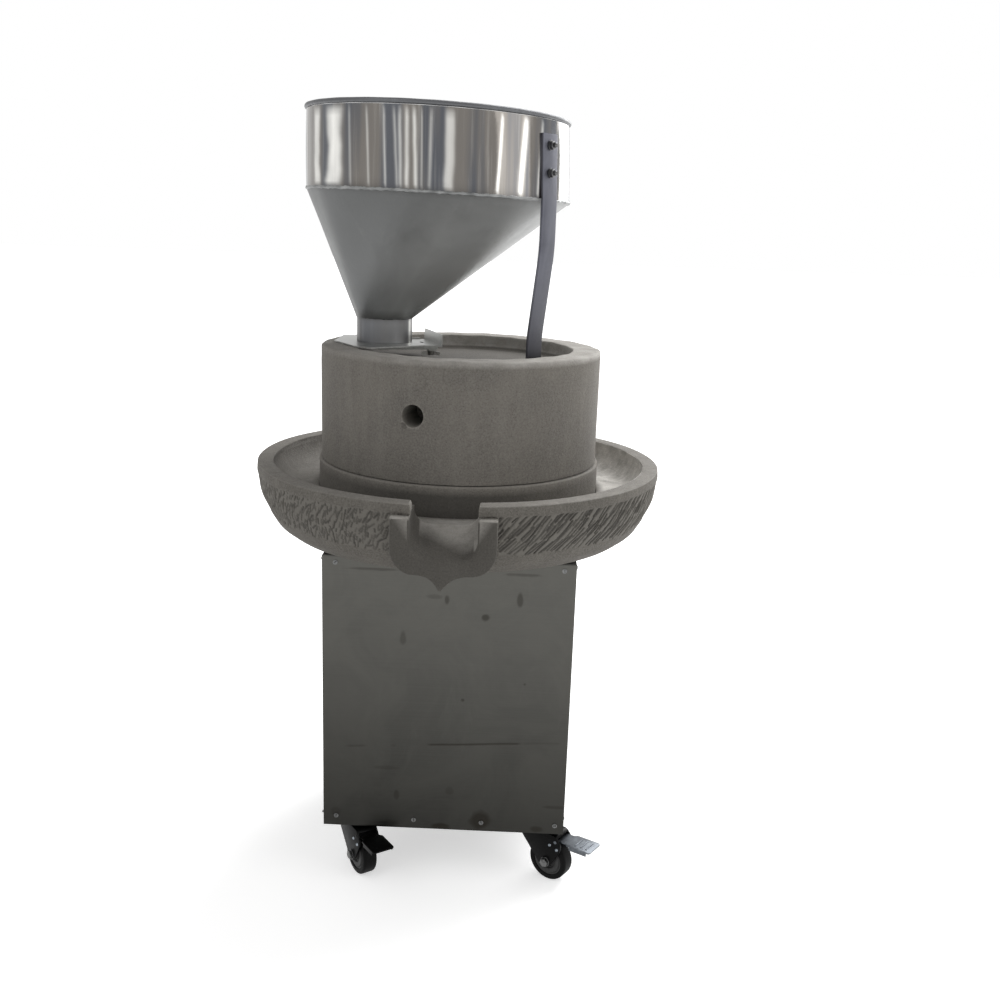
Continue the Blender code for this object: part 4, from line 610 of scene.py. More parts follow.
def mark_strokes(mesh, chiselled, segments):
    """Marks painted shade in the band's grooves and painted highlights on the ridges between them, painted shadow on
    the spout's front and in its channel round a painted patch of light, and flour dust that grows to the right as
    painted light.
    """
    heights = chiselled["height"]
    spots = np.empty(len(mesh.vertices) * 3)
    mesh.vertices.foreach_get("co", spots)
    spots = spots.reshape(-1, 3)
    x, y, z = spots[:, 0] - AXIS.x, spots[:, 1] - AXIS.y, spots[:, 2]
    radius = np.hypot(x, y)
    column = np.rint(np.arctan2(y, x) / tau * segments).astype(int) % segments
    row = np.abs(heights[None, :] - z[:, None]).argmin(axis=1)
    near = (np.abs(heights[row] - z) < 0.0012) & (radius > 0.2785) & (radius < 0.304)
    spout = np.abs(x) < 0.0695
    near &= ~(spout & (y < -0.25) & (z > TRAY_TOP - 0.095))
    share = np.clip(chiselled["depth"][row, column] / 0.0016, 0, 1)
    band = chiselled["band"][row, column] * near
    front = spout & (y < -0.296) & (z < TRAY_TOP - 0.0145)
    channel = (np.abs(x) < 0.0440) & (y < -0.212) & (z < TRAY_TOP - 0.012)
    # lit: a painted patch of light on the channel floor, cut off by a diagonal edge of painted shadow
    lit = channel & (y + 0.238 + (x + 0.038) * 0.8 > 0) & (y > -0.303)
    trough = ~channel & (radius > 0.212) & (radius < 0.2775) & (z > TRAY_TOP - 0.042)
    # right: lighter towards the right side, painted light on the dust in the trough and on the rim
    right = np.clip(0.5 + 0.5 * x / 0.27, 0, 1)
    rim = (z > TRAY_TOP - 0.0012) & (radius > 0.274) & ~channel
    ears = spout & (y < -0.296) & (z > TRAY_TOP - 0.0172) & (z < TRAY_TOP - 0.0140)
    # painted shade in the band's grooves, on the spout's front and in the channel outside the lit patch
    painted_shade = (0.22 + 0.50 * share) * band + 0.60 * (front & ~lit & ~ears) + 0.56 * (channel & ~front & ~lit)
    # flour dust in the trough, on the rim and the ears; the lit patch and the rise to the right are painted light
    dust = 0.26 * lit + (0.08 + 0.70 * right) * trough + (0.06 + 0.06 * right) * rim + 0.22 * ears
    mark(mesh, "painted_shade", painted_shade.astype(np.float32))
    mark(mesh, "ridge", (0.6 * (1 - share) ** 3 * band).astype(np.float32))
    mark(mesh, "dust", dust.astype(np.float32))


def spout_outline():
    half = 0.0685
    shoulder = EAR_TOP - 0.041
    belly = shoulder - 0.0345
    tip = belly - 0.0205
    outline = [(half - 0.0016, EAR_TOP), (half - 0.0003, EAR_TOP - 0.0006), (half, EAR_TOP - 0.0020)]
    outline += arc((0.038, shoulder), (half - 0.038, 0.0345), 0, -90, 12)
    outline += bezier([(0.038, belly), (0.0175, belly), (0.0085, belly - 0.009), (0.002, tip)], 10)
    return [(x - 0.0034 * clamp((belly + 0.006 - z) / 0.0265), z) for x, z in mirrored(outline)]


def loft(rings):
    """Rings of points joined one to the next, and closed by a flat face at each end."""
    def build(bm):
        made = [[bm.verts.new(p) for p in points] for points in rings]
        for a, b in zip(made, made[1:]):
            for i in range(len(a)):
                j = (i + 1) % len(a)
                bm.faces.new((a[i], a[j], b[j], b[i]))
        bm.faces.new(made[0])
        bm.faces.new(list(reversed(made[-1])))

    return mesh_of(build)


def spout_block():
    """The block the channel is cut in: its front edges are rounded over, and its underside rises into the tray."""
    middle = EAR_TOP - 0.045
    rings = []
    for y, inset in ((-0.308, 0.0022), (-0.3075, 0.0011), (-0.3066, 0.0004), (-0.3052, 0.0), (-0.240, 0.0)):
        squash = 1 - 0.28 * (y - SPOUT_FRONT) / SPOUT_LENGTH
        shrink = 1 - inset / 0.060
        rings.append([(x * shrink, y + AXIS.y, EAR_TOP + (middle + (z - middle) * shrink - EAR_TOP) * squash)
                      for x, z in spout_outline()])
    return loft(rings)


def channel_cutter():
    """The channel's loft: its walls flare at the block's front edge and at each top edge, as worn stone does."""
    top = TRAY_TOP
    half = 0.0436
    bottom = top - 0.069
    corner = 0.021
    fall = 0.029 / SPOUT_LENGTH
    rings = []
    for y, grow in ((-0.345, 0.0030), (-0.3088, 0.0030), (-0.3076, 0.0014), (-0.3062, 0.0005), (-0.3040, 0.0),
                    (-0.2985, 0.0), (-0.270, 0.0), (-0.214, 0.0)):
        lift = (y - SPOUT_FRONT) * fall if y > SPOUT_FRONT else 0.0
        wall = half + grow
        right = [(wall + 0.003, top + 0.03), (wall + 0.003, top + 0.001), (wall + 0.001, top - 0.001),
                 (wall, top - 0.004)]
        if y < -0.299:
            right += [(wall, EAR_TOP + 0.004), (wall + 0.002, EAR_TOP + 0.0005),
                      (wall + 0.0007, EAR_TOP - 0.0012), (wall, EAR_TOP - 0.004)]
        else:
            rise = bottom + corner + lift - (top - 0.004)
            right += [(wall, top - 0.004 + rise * k / 5) for k in range(1, 5)]
        right += [(x, z + lift) for x, z in arc((half - corner, bottom + corner), corner + grow, 0, -90, 8)]
        rings.append([(x, y + AXIS.y, z) for x, z in mirrored(right)])
    return loft(rings)


# Grinding stones


FURROWS = 16
BED_RADIUS = 0.21
RUNNER_RADIUS = 0.206
DISH_DEPTH = 0.022
LEVER_HOLE = 0.0153                    # radius
LEVER_ANGLE = radians(-104.7)


def furrow_cutters(face):
    def build(bm):
        for i in range(FURROWS):
            turn = Matrix.Translation(AXIS) @ turned(tau * (i + 0.5) / FURROWS)
            slant = moved(0.125, 0) @ turned(radians(24))
            add_box(bm, (0, -0.003, face - 0.003), (0.078, 0.003, face + 0.003), turn @ slant)

    return mesh_of(build)


def bed_stone():
    bore, seat, seat_top = 0.0403, 0.0553, BED_BOTTOM + 0.0103
    profile = rounded([(bore, BED_TOP), (BED_RADIUS, BED_TOP, 0.003), (BED_RADIUS, BED_BOTTOM), (seat, BED_BOTTOM),
                       (seat, seat_top), (bore, seat_top)])

    def warp(radius, angle, height):
        wave = 0.0004 * np.sin(angle * 6 + 1.2) + 0.0003 * np.sin(angle * 15)
        return np.where(radius > 0.2, radius + wave - 0.0004, radius), height

    mesh = lathe(resampled(profile, 0.012), 240, warp=warp)
    mesh = cut(mesh, furrow_cutters(BED_TOP))

    # painted shadow below the joint: the bed stone's side darkens under its top edge, most at the front
    def shade_below_joint(co):
        front = max(0.0, -(co.y - AXIS.y) / BED_RADIUS)
        drop = clamp((BED_TOP - 0.005 - co.z) / 0.008)
        return (0.15 + 0.58 * front ** 2) * drop * (from_axis(co) > 0.205)

    mark(mesh, "painted_shade", shade_below_joint)
    piece("bed_stone_cut", mesh, "stone", "mill_base", "bed_stone", smooth=40)


def runner_stone():
    floor = RUNNER_TOP - DISH_DEPTH
    bore, bore_top = 0.0285, RUNNER_BOTTOM + 0.0303
    wall = arc((0.151, floor + 0.012), 0.012, -90, 0, 6)
    profile = [(0, floor)] + wall + rounded([(0.164, RUNNER_TOP - 0.004), (0.165, RUNNER_TOP, 0.003),
                                             (RUNNER_RADIUS, RUNNER_TOP, 0.004),
                                             (RUNNER_RADIUS, RUNNER_BOTTOM, 0.0012),
                                             (bore, RUNNER_BOTTOM)], closed=False)[1:]
    profile += [(bore, bore_top), (0, bore_top)]

    def warp(radius, angle, height):
        outer = radius > 0.2
        wave = 0.0005 * np.sin(angle * 4 + 0.4) + 0.0003 * np.sin(angle * 13 + 1)
        wave = wave * np.where(height < RUNNER_TOP - 0.02, 1.0, 0.6)
        tall = 0.0003 * np.sin(angle * 9 + 2) + 0.0003 * np.sin(angle * 23)
        near_top = (height > RUNNER_TOP - 0.006) & (radius > 0.16)
        return radius + np.where(outer, wave - 0.0004, 0), height + np.where(near_top, tall - 0.0003, 0)

    mesh = lathe(resampled(profile, 0.006, closed=False), 320, closed=False, warp=warp)
    mesh = cut(mesh, rod((*EYE, RUNNER_BOTTOM - 0.01), (*EYE, RUNNER_TOP), 0.028, 48))
    out = Vector((cos(LEVER_ANGLE), sin(LEVER_ANGLE), 0))
    middle = AXIS + UP * (BED_TOP + 0.092)
    mesh = cut(mesh, rod(middle + out * 0.146, middle + out * 0.226, LEVER_HOLE, 40))
    mesh = cut(mesh, rod(middle + out * 0.2035, middle + out * 0.2090, 0.0146, 40, 0.0195))
    side = Vector((-out.y, out.x, 0))
    chip_at = middle + out * 0.2075 - side * 0.0125 + Vector((0, 0, -0.0135))
    chip = mesh_of(lambda bm: bmesh.ops.create_icosphere(
        bm, subdivisions=3, radius=1, matrix=Matrix.Translation(chip_at) @ turned(0.7, "Y")
        @ Matrix.Diagonal((0.0065, 0.005, 0.0042, 1))))
    mesh = cut(mesh, chip)
    mesh = cut(mesh, furrow_cutters(RUNNER_BOTTOM))

    # flour dust on the top and the dish's upper wall; the top's rise towards the right is painted light
    def flour_and_light(co):
        right = clamp(0.5 + 0.5 * co.x / 0.2)
        if co.z > RUNNER_TOP - 0.005:
            return 0.06 + 0.30 * right
        return 0.24 if from_axis(co) < 0.1655 and co.z > RUNNER_TOP - 0.018 else 0.0

    def dish_shade(co):
        return 0.5 if from_axis(co) < 0.162 and RUNNER_TOP - 0.030 < co.z < RUNNER_TOP - 0.018 else 0.0

    mark(mesh, "dust", flour_and_light)
    mark(mesh, "painted_shade", dish_shade)
    piece("runner_stone_cut", mesh, "stone", "runner", "runner_stone", smooth=40)


# Hopper


BARREL_LOW, BARREL_HIGH = BED_TOP + 0.3797, BED_TOP + 0.4834
BARREL_TALL = 0.1037
OUTLET_LOW, OUTLET_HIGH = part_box("hopper_outlet")[0].z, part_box("hopper_outlet")[1].z
HOPPER_MIDDLE = -0.0386                # the barrel's middle at its lower edge


def hopper_ring(share, angle, radius_more=0.0):
    """A point of the hopper at a share of the barrel's height and an angle round its middle line."""
    centre = HOPPER_MIDDLE - 0.0018 * share
    radius = 0.1864 - 0.0028 * share + radius_more
    tilt = tan(radians(1.43 + 0.16 * share))
    x, y = radius * cos(angle), radius * sin(angle)
    return Vector((centre + x, y + AXIS.y, BARREL_LOW + (BARREL_HIGH - BARREL_LOW) * share - x * tilt))


def barrel_foot(co):
    """The height of the barrel's tilted lower edge over or under a place."""
    return BARREL_LOW - (co.x - HOPPER_MIDDLE) * tan(radians(1.43))


def neck_ring(angle, height, radius):
    return Vector((EYE[0] + radius * cos(angle), EYE[1] + radius * sin(angle), height))


def skin(name, rows, slot, body, *nodes, thick=0.0012, stains=None, brights=None, dulls=None, smooth=35):
    """A sheet through rows of points round a closed loop, thickened inwards, with stain, bright (painted light) and
    dull marks by function.
    """
    count = len(rows[0])
    faces = []
    for k in range(len(rows) - 1):
        for i in range(count):
            j = (i + 1) % count
            faces.append((k * count + i, k * count + j, (k + 1) * count + j, (k + 1) * count + i))
    mesh = mesh_data([p for row in rows for p in row], faces)
    mesh = modified(mesh, SOLIDIFY={"thickness": thick, "offset": -1.0, "use_even_offset": True})
    for label, rule in (("stain", stains), ("bright", brights), ("dull", dulls)):
        if rule:
            mark(mesh, label, rule)
    return piece(name, mesh, slot, body, *nodes, smooth=smooth)


def tube_mesh(path, radius, closed=True, sides=12):
    """A round bead along a path; radius may be a function of the share along it."""
    count = len(path)
    verts = []
    for i, point in enumerate(path):
        before = path[i - 1] if closed or i else path[0]
        after = path[(i + 1) % count] if closed or i < count - 1 else path[-1]
        along = (after - before).normalized()
        side = along.cross(UP)
        side = side.normalized() if side.length > 1e-6 else Vector((1, 0, 0))
        up = side.cross(along)
        r = radius(i / count) if callable(radius) else radius
        verts += [point + side * (r * cos(tau * k / sides)) + up * (r * sin(tau * k / sides))
                  for k in range(sides)]
    faces = []
    for i in range(count if closed else count - 1):
        for k in range(sides):
            a, b = i * sides + k, i * sides + (k + 1) % sides
            c, d = ((i + 1) % count) * sides + (k + 1) % sides, ((i + 1) % count) * sides + k
            faces.append((a, b, c, d))
    if not closed:
        faces.append(tuple(range(sides)))
        faces.append(tuple((count - 1) * sides + k for k in reversed(range(sides))))

    def build(bm):
        made = [bm.verts.new(v) for v in verts]
        for face in faces:
            bm.faces.new([made[i] for i in face])

    return mesh_of(build)


def hopper_barrel(angles):
    def ripple(share, a):
        calm = sin(pi * share)
        return 0.00035 * calm * (sin(a * 17 + 1) + 0.8 * sin(a * 29) + 0.5 * sin(a * 47 + 2))

    rows = [[hopper_ring(k / 14, a, ripple(k / 14, a)) for a in angles] for k in range(14, -1, -1)]
    # painted reflections as bright streaks: angle above, angle below, width in degrees, strength
    painted_reflections = ((-146.0, -145.5, 3.2, 0.75), (-132.5, -132.8, 5.4, 1.0), (-123.6, -122.5, 0.6, 0.30),
               (-115.2, -113.6, 0.5, 0.42), (-107.4, -106.2, 0.5, 0.45), (-103.2, -101.2, 0.6, 0.36),
               (-100.8, -99.8, 0.7, 0.50), (-97.8, -97.4, 0.8, 0.66), (-95.0, -93.8, 0.7, 0.78),
               (-92.0, -91.6, 0.35, 0.40), (-88.2, -88.6, 0.6, 0.40), (-80.8, -81.0, 1.9, 0.62),
               (-59.2, -61.4, 0.6, 0.80), (-47.4, -50.6, 1.1, 1.0), (-37.6, -41.0, 0.8, 0.62),
               (-22.0, -21.5, 2.4, 0.75), (-12.0, -12.0, 1.5, 0.6),
               (20, 22, 4, 0.5), (38, 37, 1, 0.7), (60, 58, 3, 0.7), (83, 84, 1, 0.5), (100, 99, 1.6, 0.6),
               (121, 123, 0.8, 0.5), (140, 138, 5, 0.8), (158, 158, 1, 0.5), (175, 176, 1.5, 0.5))

    # painted reflections: bright streaks down the barrel, each wandering a little
    def bright(co):
        angle = degrees(atan2(co.y - AXIS.y, co.x + 0.0405))
        share = (co.z - BARREL_LOW + (co.x - HOPPER_MIDDLE) * 0.026) / (BARREL_HIGH - BARREL_LOW)
        found = 0.0
        for above, under, wide, strength in painted_reflections:
            wander = 0.25 * wide * noise.noise(Vector((above, co.z * 45, 5)))
            off = (angle - under - (above - under) * share - wander + 180) % 360 - 180
            if abs(off) < wide * 2:
                narrow = wide * (1 - 0.25 * sin(pi * share) * (wide > 2.5))
                found = max(found, strength * exp(-abs(off / narrow) ** (4 if wide > 1.4 else 2)))
        ends = clamp((0.96 - share) / 0.05) * clamp((share - 0.02) / 0.04)
        return found * ends * (0.85 + 0.15 * noise.noise(Vector((angle * 0.3, co.z * 30, 1))))

    def weld_smoke(co):
        edge = max(0.0, 1 - (co.z - barrel_foot(co)) / 0.010)
        return 0.75 * edge * (0.6 + 0.4 * noise.noise(Vector((co.x * 60, co.y * 60, 3))))

    skin("hopper_barrel_rolled", rows, "polished_steel", "runner", "hopper_barrel", stains=weld_smoke,
         brights=bright)


def hopper_cone(angles):
    def cone_point(share, a):
        upper = hopper_ring(0, a) + Vector((0, 0, -0.0003))
        lower = neck_ring(a, OUTLET_HIGH + 0.0003, 0.0402)
        at = upper.lerp(lower, share)
        dent = 0.0006 * sin(pi * share) * (sin(a * 3 + 1) + 0.6 * sin(a * 7 + share * 5))
        away = Vector((cos(a), sin(a), 0.5)).normalized()
        return at + away * dent

    rows = [[cone_point(k / 24, a) for a in angles] for k in range(25)]
    # burnt spots below the weld: angle, drop, size
    burns = [(-141, 0.006, 0.005), (-139, 0.014, 0.004), (-143, 0.022, 0.004), (-137, 0.009, 0.003)]

    def cone_stain(co):
        near_neck = max(0.0, 1 - (co.z - OUTLET_HIGH) / 0.014)
        upper = barrel_foot(co)
        near_top = max(0.0, 1 - (upper - co.z) / 0.004)
        cloud = noise.noise(co * 28) * 0.5 + noise.noise(co * 75) * 0.3
        smudge = max(0.0, cloud - 0.22) * 1.2
        burnt = 0.0
        for at, drop, size in burns:
            spot = hopper_ring(0, radians(at)) * (1 - drop / 0.15)
            spot.z = upper - drop
            burnt = max(burnt, 0.8 * exp(-((co - spot).length / size) ** 2))
        return max(burnt, 0.6 * near_neck + 0.3 * near_top + smudge * 0.4)

    # painted light: lighter towards the right side and the lower part, with a painted highlight along the left edge
    def cone_painted_light(co):
        share = (BARREL_LOW - (co.x - HOPPER_MIDDLE) * 0.025 - co.z) / (BARREL_LOW - OUTLET_HIGH)
        middle = HOPPER_MIDDLE + (EYE[0] - HOPPER_MIDDLE) * share
        angle = degrees(atan2(co.y - AXIS.y, co.x - middle))
        facing = clamp((150 - abs(angle)) / 75) ** 2
        edge = 0.16 * exp(-((angle + 149) / 5) ** 2)
        return 0.03 + 0.40 * facing + 0.60 * facing * clamp(share * 1.8) + edge

    skin("hopper_cone_rolled", rows, "cone_steel", "runner", "hopper_cone", stains=cone_stain,
         brights=cone_painted_light)


def hopper_outlet(angles):
    levels = [OUTLET_HIGH - (OUTLET_HIGH - OUTLET_LOW) * k / 8 for k in range(9)]
    rows = [[neck_ring(a, z, 0.0395 + 0.0002 * sin(a * 5)) for a in angles[::2]] for z in levels]

    # painted highlight on the outlet's front right, with a faint broad sheen beside it
    def outlet_painted_highlight(co):
        angle = degrees(atan2(co.y - EYE[1], co.x - EYE[0]))
        return max(0.65 * exp(-((angle + 17) / 6) ** 2), 0.10 * exp(-((angle + 60) / 35) ** 2))

    def outlet_stain(co):
        angle = degrees(atan2(co.y - EYE[1], co.x - EYE[0]))
        return max(0.55 * exp(-((angle + 140) / 2.2) ** 2), 0.5 * max(0.0, 1 - (OUTLET_HIGH - co.z) / 0.006))

    skin("hopper_outlet_rolled", rows, "polished_steel", "runner", "hopper_outlet", stains=outlet_stain,
         brights=outlet_painted_highlight, dulls=lambda co: 0.85)
    seam_at = radians(-140)
    turn = moved(EYE[0] + 0.0396 * cos(seam_at), EYE[1] + 0.0396 * sin(seam_at)) @ turned(seam_at + pi / 2)
    seam = block((-0.0015, -0.0006, OUTLET_LOW + 0.001), (0.0015, 0.0005, OUTLET_HIGH - 0.001), turn)
    seam = modified(seam, BEVEL={"width": 0.0004, "segments": 2})
    piece("hopper_outlet_seam", seam, "polished_steel", "runner")


def hopper_beads(angles):
    """The rolled rim and the two welds."""
    rim = [hopper_ring(1, a, 0.0005) + Vector((0, 0, 0.0038)) for a in angles]
    bead = tube_mesh(rim, lambda s: 0.0034 + 0.00008 * sin(s * 150))
    mark(bead, "dull", lambda co: 1.0)
    piece("hopper_rim_bead", bead, "polished_steel", "runner", "hopper_rim", smooth=60)
    dice = random.Random(5)
    sizes = [0.0017 + dice.uniform(0, 0.0011) for _ in range(360)]
    weld = [hopper_ring(0, tau * i / 360, 0.0002) + UP * dice.uniform(-0.0004, 0.0004) for i in range(360)]
    bead = tube_mesh(weld, lambda s: sizes[int(s * 360) % 360], sides=8)
    mark(bead, "bright", lambda co: 0.45 + 0.5 * noise.noise(co * 90))
    piece("hopper_weld_upper", bead, "cone_steel", "runner", smooth=60)
    weld = [neck_ring(tau * i / 90, OUTLET_HIGH + 0.0006, 0.0400) for i in range(90)]
    bead = tube_mesh(weld, lambda s: sizes[int(s * 90) % 90] * 0.75, sides=8)
    piece("hopper_weld_lower", bead, "cone_steel", "runner", smooth=60)


def hopper():
    turns = 720
    angles = [tau * i / turns for i in range(turns)]
    hopper_barrel(angles)
    hopper_cone(angles)
    hopper_outlet(angles)
    hopper_beads(angles)


# Strap and bolts


STRAP_ANGLE = radians(-34)
STRAP_SIDE = Vector((cos(STRAP_ANGLE), sin(STRAP_ANGLE), 0))


def barrel_wall(drop):
    return hopper_ring(1 - drop / BARREL_TALL, STRAP_ANGLE)


def strap():
    origin = Vector((HOPPER_MIDDLE, AXIS.y, 0))
    across = Vector((-STRAP_SIDE.y, STRAP_SIDE.x, 0))
    top, low = barrel_wall(0.0185), barrel_wall(BARREL_TALL)
    foot_z = RUNNER_TOP - DISH_DEPTH + 0.0003
    half, thickness, edge = 0.017, 0.004, 0.0008

    def reach(place):
        return (place - origin).dot(STRAP_SIDE)

    points = [(reach(top) + 0.0007, top.z), (reach(low) + 0.0007, low.z),
              (reach(low) + 0.0007, RUNNER_TOP + 0.143, 0.02), (0.1723, RUNNER_TOP + 0.025, 0.012),
              (0.1723, foot_z + thickness, 0.003), (0.1383, foot_z + thickness)]
    inner = resampled(rounded(points, 6, closed=False), 0.012, closed=False)
    shape = rounded([(-half, 0.0, edge), (half, 0.0, edge), (half, thickness, edge), (-half, thickness, edge)], 3)
    rows = []
    for i, point in enumerate(inner):
        before, after = Vector(inner[max(i - 1, 0)]), Vector(inner[min(i + 1, len(inner) - 1)])
        along = (after - before).normalized()
        normal = Vector((-along.y, along.x))
        row = []
        for sideways, thick in shape:
            at = Vector(point) + normal * thick
            row.append(origin + STRAP_SIDE * at.x + across * sideways + UP * at.y)
        rows.append(row)
    mesh = loft(rows)
    # painted light: the strap lighter towards its top; the next mark makes it darker towards its foot
    mark(mesh, "bright", lambda co: 0.34 * max(0.0, (co.z - RUNNER_TOP) / 0.32) ** 2.5)
    mark(mesh, "stain", lambda co: 0.6 * max(0.0, 1 - (co.z - foot_z) / 0.16))
    piece("hopper_strap_bar", mesh, "strap_steel", "runner", "hopper_strap", smooth=40)
    for name, drop in (("strap_bolt_upper", 0.0331), ("strap_bolt_lower", 0.0687)):
        middle = barrel_wall(drop)
        ends = (middle - STRAP_SIDE * 0.0024, middle + STRAP_SIDE * 0.0056)
        mesh = mesh_of(lambda bm: add_bolt(bm, *ends, STRAP_SIDE))
        mark(mesh, "dull", lambda co: 0.8)
        piece(name + "_set", mesh, "bright_steel", "runner", name, smooth=30)
    foot = origin + STRAP_SIDE * 0.1553 + Vector((0, 0, foot_z + 0.0043))

    def anchor(bm):
        add_rod(bm, foot - UP * 0.032, foot + UP * 0.002, 0.003, 16)
        add_rod(bm, foot - UP * 0.0001, foot + UP * 0.0009, 0.0068, 24, edge=0.0002)
        add_nut(bm, foot + UP * 0.0008, UP, 0.0057, 0.0042)

    piece("strap_anchor_set", mesh_of(anchor), "bright_steel", "runner", "strap_anchor_bolt", smooth=30)


def add_nut(bm, at, along, radius, height, turn=0.3):
    """A hexagon with chamfered corners."""
    frame_turn = along.to_track_quat("Z", "Y").to_matrix()
    rows = [(radius * 0.88, 0.0), (radius, height * 0.12), (radius, height * 0.85), (radius * 0.86, height)]
    made = []
    for r, h in rows:
        made.append([bm.verts.new(at + frame_turn @ Vector((r * cos(turn + tau * i / 6),
                                                            r * sin(turn + tau * i / 6), h)))
                     for i in range(6)])
    for a, b in zip(made, made[1:]):
        for i in range(6):
            bm.faces.new((a[i], a[(i + 1) % 6], b[(i + 1) % 6], b[i]))
    bm.faces.new(list(reversed(made[0])))
    bm.faces.new(made[-1])


def add_bolt(bm, head, nut, along):
    add_rod(bm, head - along * 0.003, head, 0.0036, 20, 0.0057, edge=0.0004)
    add_rod(bm, head - along * 0.001, nut + along * 0.0088, 0.003, 20, edge=0.0005)
    add_rod(bm, nut, nut + along * 0.001, 0.0065, 24, edge=0.0002)
    add_nut(bm, nut + along * 0.0009, along, 0.0057, 0.0045)


# Cabinet panels


def panel_mesh(side, stains=(), dents=(), crease=None, fine=0.004):
    """A sheet panel as a grid, with its marks; side counts quarter turns from the front."""
    wide = HALF if side in (0, 2) else HALF - 0.0018
    columns = max(2, int(round(2 * wide / fine)))
    rows = max(2, int(round((CABINET_TOP - CABINET_BOTTOM) / fine)))
    turn = turned(pi / 2 * side)
    edge = 0.0012
    verts, marks = [], []
    for r in range(rows + 1):
        z = CABINET_BOTTOM + (CABINET_TOP - CABINET_BOTTOM) * r / rows
        for c in range(columns + 1):
            x = -wide + 2 * wide * c / columns
            border = min(wide - abs(x), z - CABINET_BOTTOM, CABINET_TOP - z)
            out = -0.0006 * max(0.0, 1 - border / edge) ** 2
            out += 0.00035 * sin(pi * (x + wide) / (2 * wide)) * noise.noise(Vector((x * 9, z * 9, side * 3.1)))
            dark = 0.0
            # the crease is dented, and darkened along its line as painted shade
            if crease:
                level = crease + 0.06 * x + 0.001 * noise.noise(Vector((x * 20, 1, 2)))
                near = exp(-((z - level) / 0.0014) ** 2)
                for start, end, strength in ((-0.147, -0.113, 0.35), (-0.080, -0.070, 0.45), (-0.028, 0.112, 0.75),
                                             (0.112, 0.170, 0.2)):
                    inside = clamp(min(x - start, end - x) / 0.008)
                    out -= 0.0005 * strength * near * inside
                    dark = max(dark, strength * near * inside)
            for px, pz, size, depth in dents:
                out -= depth * exp(-((x - px) ** 2 + (z - pz) ** 2) / size ** 2)
            for px, pz, sx, sz, strength in stains:
                wobble = 1 + 0.5 * noise.noise(Vector((x * 90, z * 90, px * 50)))
                d = ((x - px) / sx) ** 2 + ((z - pz) / sz) ** 2
                dark = max(dark, strength * clamp(1.6 * (1 - d * wobble)))
            marks.append(dark)
            verts.append(turn @ Vector((x, -HALF - out, z)) + AXIS)
    faces = []
    for r in range(rows):
        for c in range(columns):
            a = r * (columns + 1) + c
            faces.append((a, a + 1, a + columns + 2, a + columns + 1))
    mesh = mesh_data(verts, faces)
    mark(mesh, "stain", marks)
    return modified(mesh, SOLIDIFY={"thickness": 0.0012, "offset": -1.0})


def screw_mesh(at, out, turn):
    """A domed cross-recess head."""
    def build(bm):
        add_rod(bm, at - out * 0.001, at + out * 0.0006, 0.0034, 28, 0.0034)
        add_rod(bm, at + out * 0.0005, at + out * 0.0018, 0.0033, 28, 0.0020)

    mesh = mesh_of(build)
    frame_turn = out.to_track_quat("Z", "Y").to_matrix().to_4x4()
    for quarter in (0, 1):
        slot_turn = Matrix.Translation(at) @ frame_turn @ turned(turn + quarter * pi / 2)
        mesh = cut(mesh, block((-0.0018, -0.0004, 0.0007), (0.0018, 0.0004, 0.004), slot_turn))
    return mesh


def panels():
    front_stains = (
        (-0.002, 0.448, 0.004, 0.008, 0.5), (0.053, 0.424, 0.007, 0.006, 0.6), (0.101, 0.452, 0.005, 0.014, 0.5),
        (-0.063, 0.388, 0.005, 0.012, 0.35), (0.055, 0.106, 0.018, 0.017, 0.75), (-0.005, 0.093, 0.016, 0.006, 0.8),
        (0.138, 0.095, 0.010, 0.006, 0.6), (-0.070, 0.142, 0.005, 0.010, 0.4), (0.008, 0.152, 0.008, 0.008, 0.25),
        (-0.085, 0.185, 0.020, 0.004, 0.25), (0.180, 0.175, 0.006, 0.010, 0.35), (0.165, 0.132, 0.025, 0.003, 0.4),
        (0.024, 0.297, 0.003, 0.003, 0.5), (0.112, 0.325, 0.002, 0.002, 0.5), (-0.105, 0.489, 0.045, 0.0022, 0.4),
        (0.105, 0.489, 0.030, 0.0025, 0.35), (-0.020, 0.452, 0.012, 0.004, 0.25), (-0.160, 0.111, 0.008, 0.008, 0.3),
        (-0.080, 0.096, 0.018, 0.005, 0.3))
    front = panel_mesh(0, front_stains, ((0.06, 0.30, 0.05, 0.0005), (-0.09, 0.36, 0.06, 0.0005)), 0.2255, 0.0014)
    piece("front_panel_sheet", front, "cabinet_steel", "mill_base", "front_panel")
    side_stains = ((0.05, 0.12, 0.02, 0.008, 0.4), (-0.08, 0.35, 0.006, 0.02, 0.3), (0.02, 0.45, 0.02, 0.005, 0.3))
    for side, name in ((1, "right_panel"), (3, "left_panel")):
        mesh = panel_mesh(side, side_stains, ((0.03, 0.25, 0.06, 0.0005),), None, 0.004)
        piece(name + "_sheet", mesh, "cabinet_steel", "mill_base", name)
    upper, lower = CABINET_TOP - 0.010, CABINET_BOTTOM + 0.014
    spots = [(-0.159, upper), (0.161, upper), (-0.159, lower + 0.002), (-0.044, lower), (0.056, lower),
             (0.165, lower)]
    heads = []
    dice = random.Random(3)
    for side in (0, 1, 3):
        turn = turned(pi / 2 * side)
        for x, z in spots:
            at = turn @ Vector((x, -HALF - 0.0002, z)) + AXIS
            heads.append(screw_mesh(at, turn @ Vector((0, -1, 0)), dice.uniform(0, 3)))
    heads = joined(*heads)
    mark(heads, "dull", lambda co: 0.75)
    piece("panel_screw_heads", heads, "bright_steel", "mill_base", smooth=30)


# Casters


# place, heading in degrees, with a brake or without
CASTERS = {
    "front_left": ((-0.140, -0.133), -56, True), "front_right": ((0.140, -0.133), -34, True),
    "rear_left": ((-0.140, 0.133), -60, False), "rear_right": ((0.140, 0.133), -84, False),
}


def placed(mesh, matrix):
    mesh.transform(matrix)
    return mesh


AXLE = Vector((0.028, 0, 0.032))       # from a caster's own swivel line


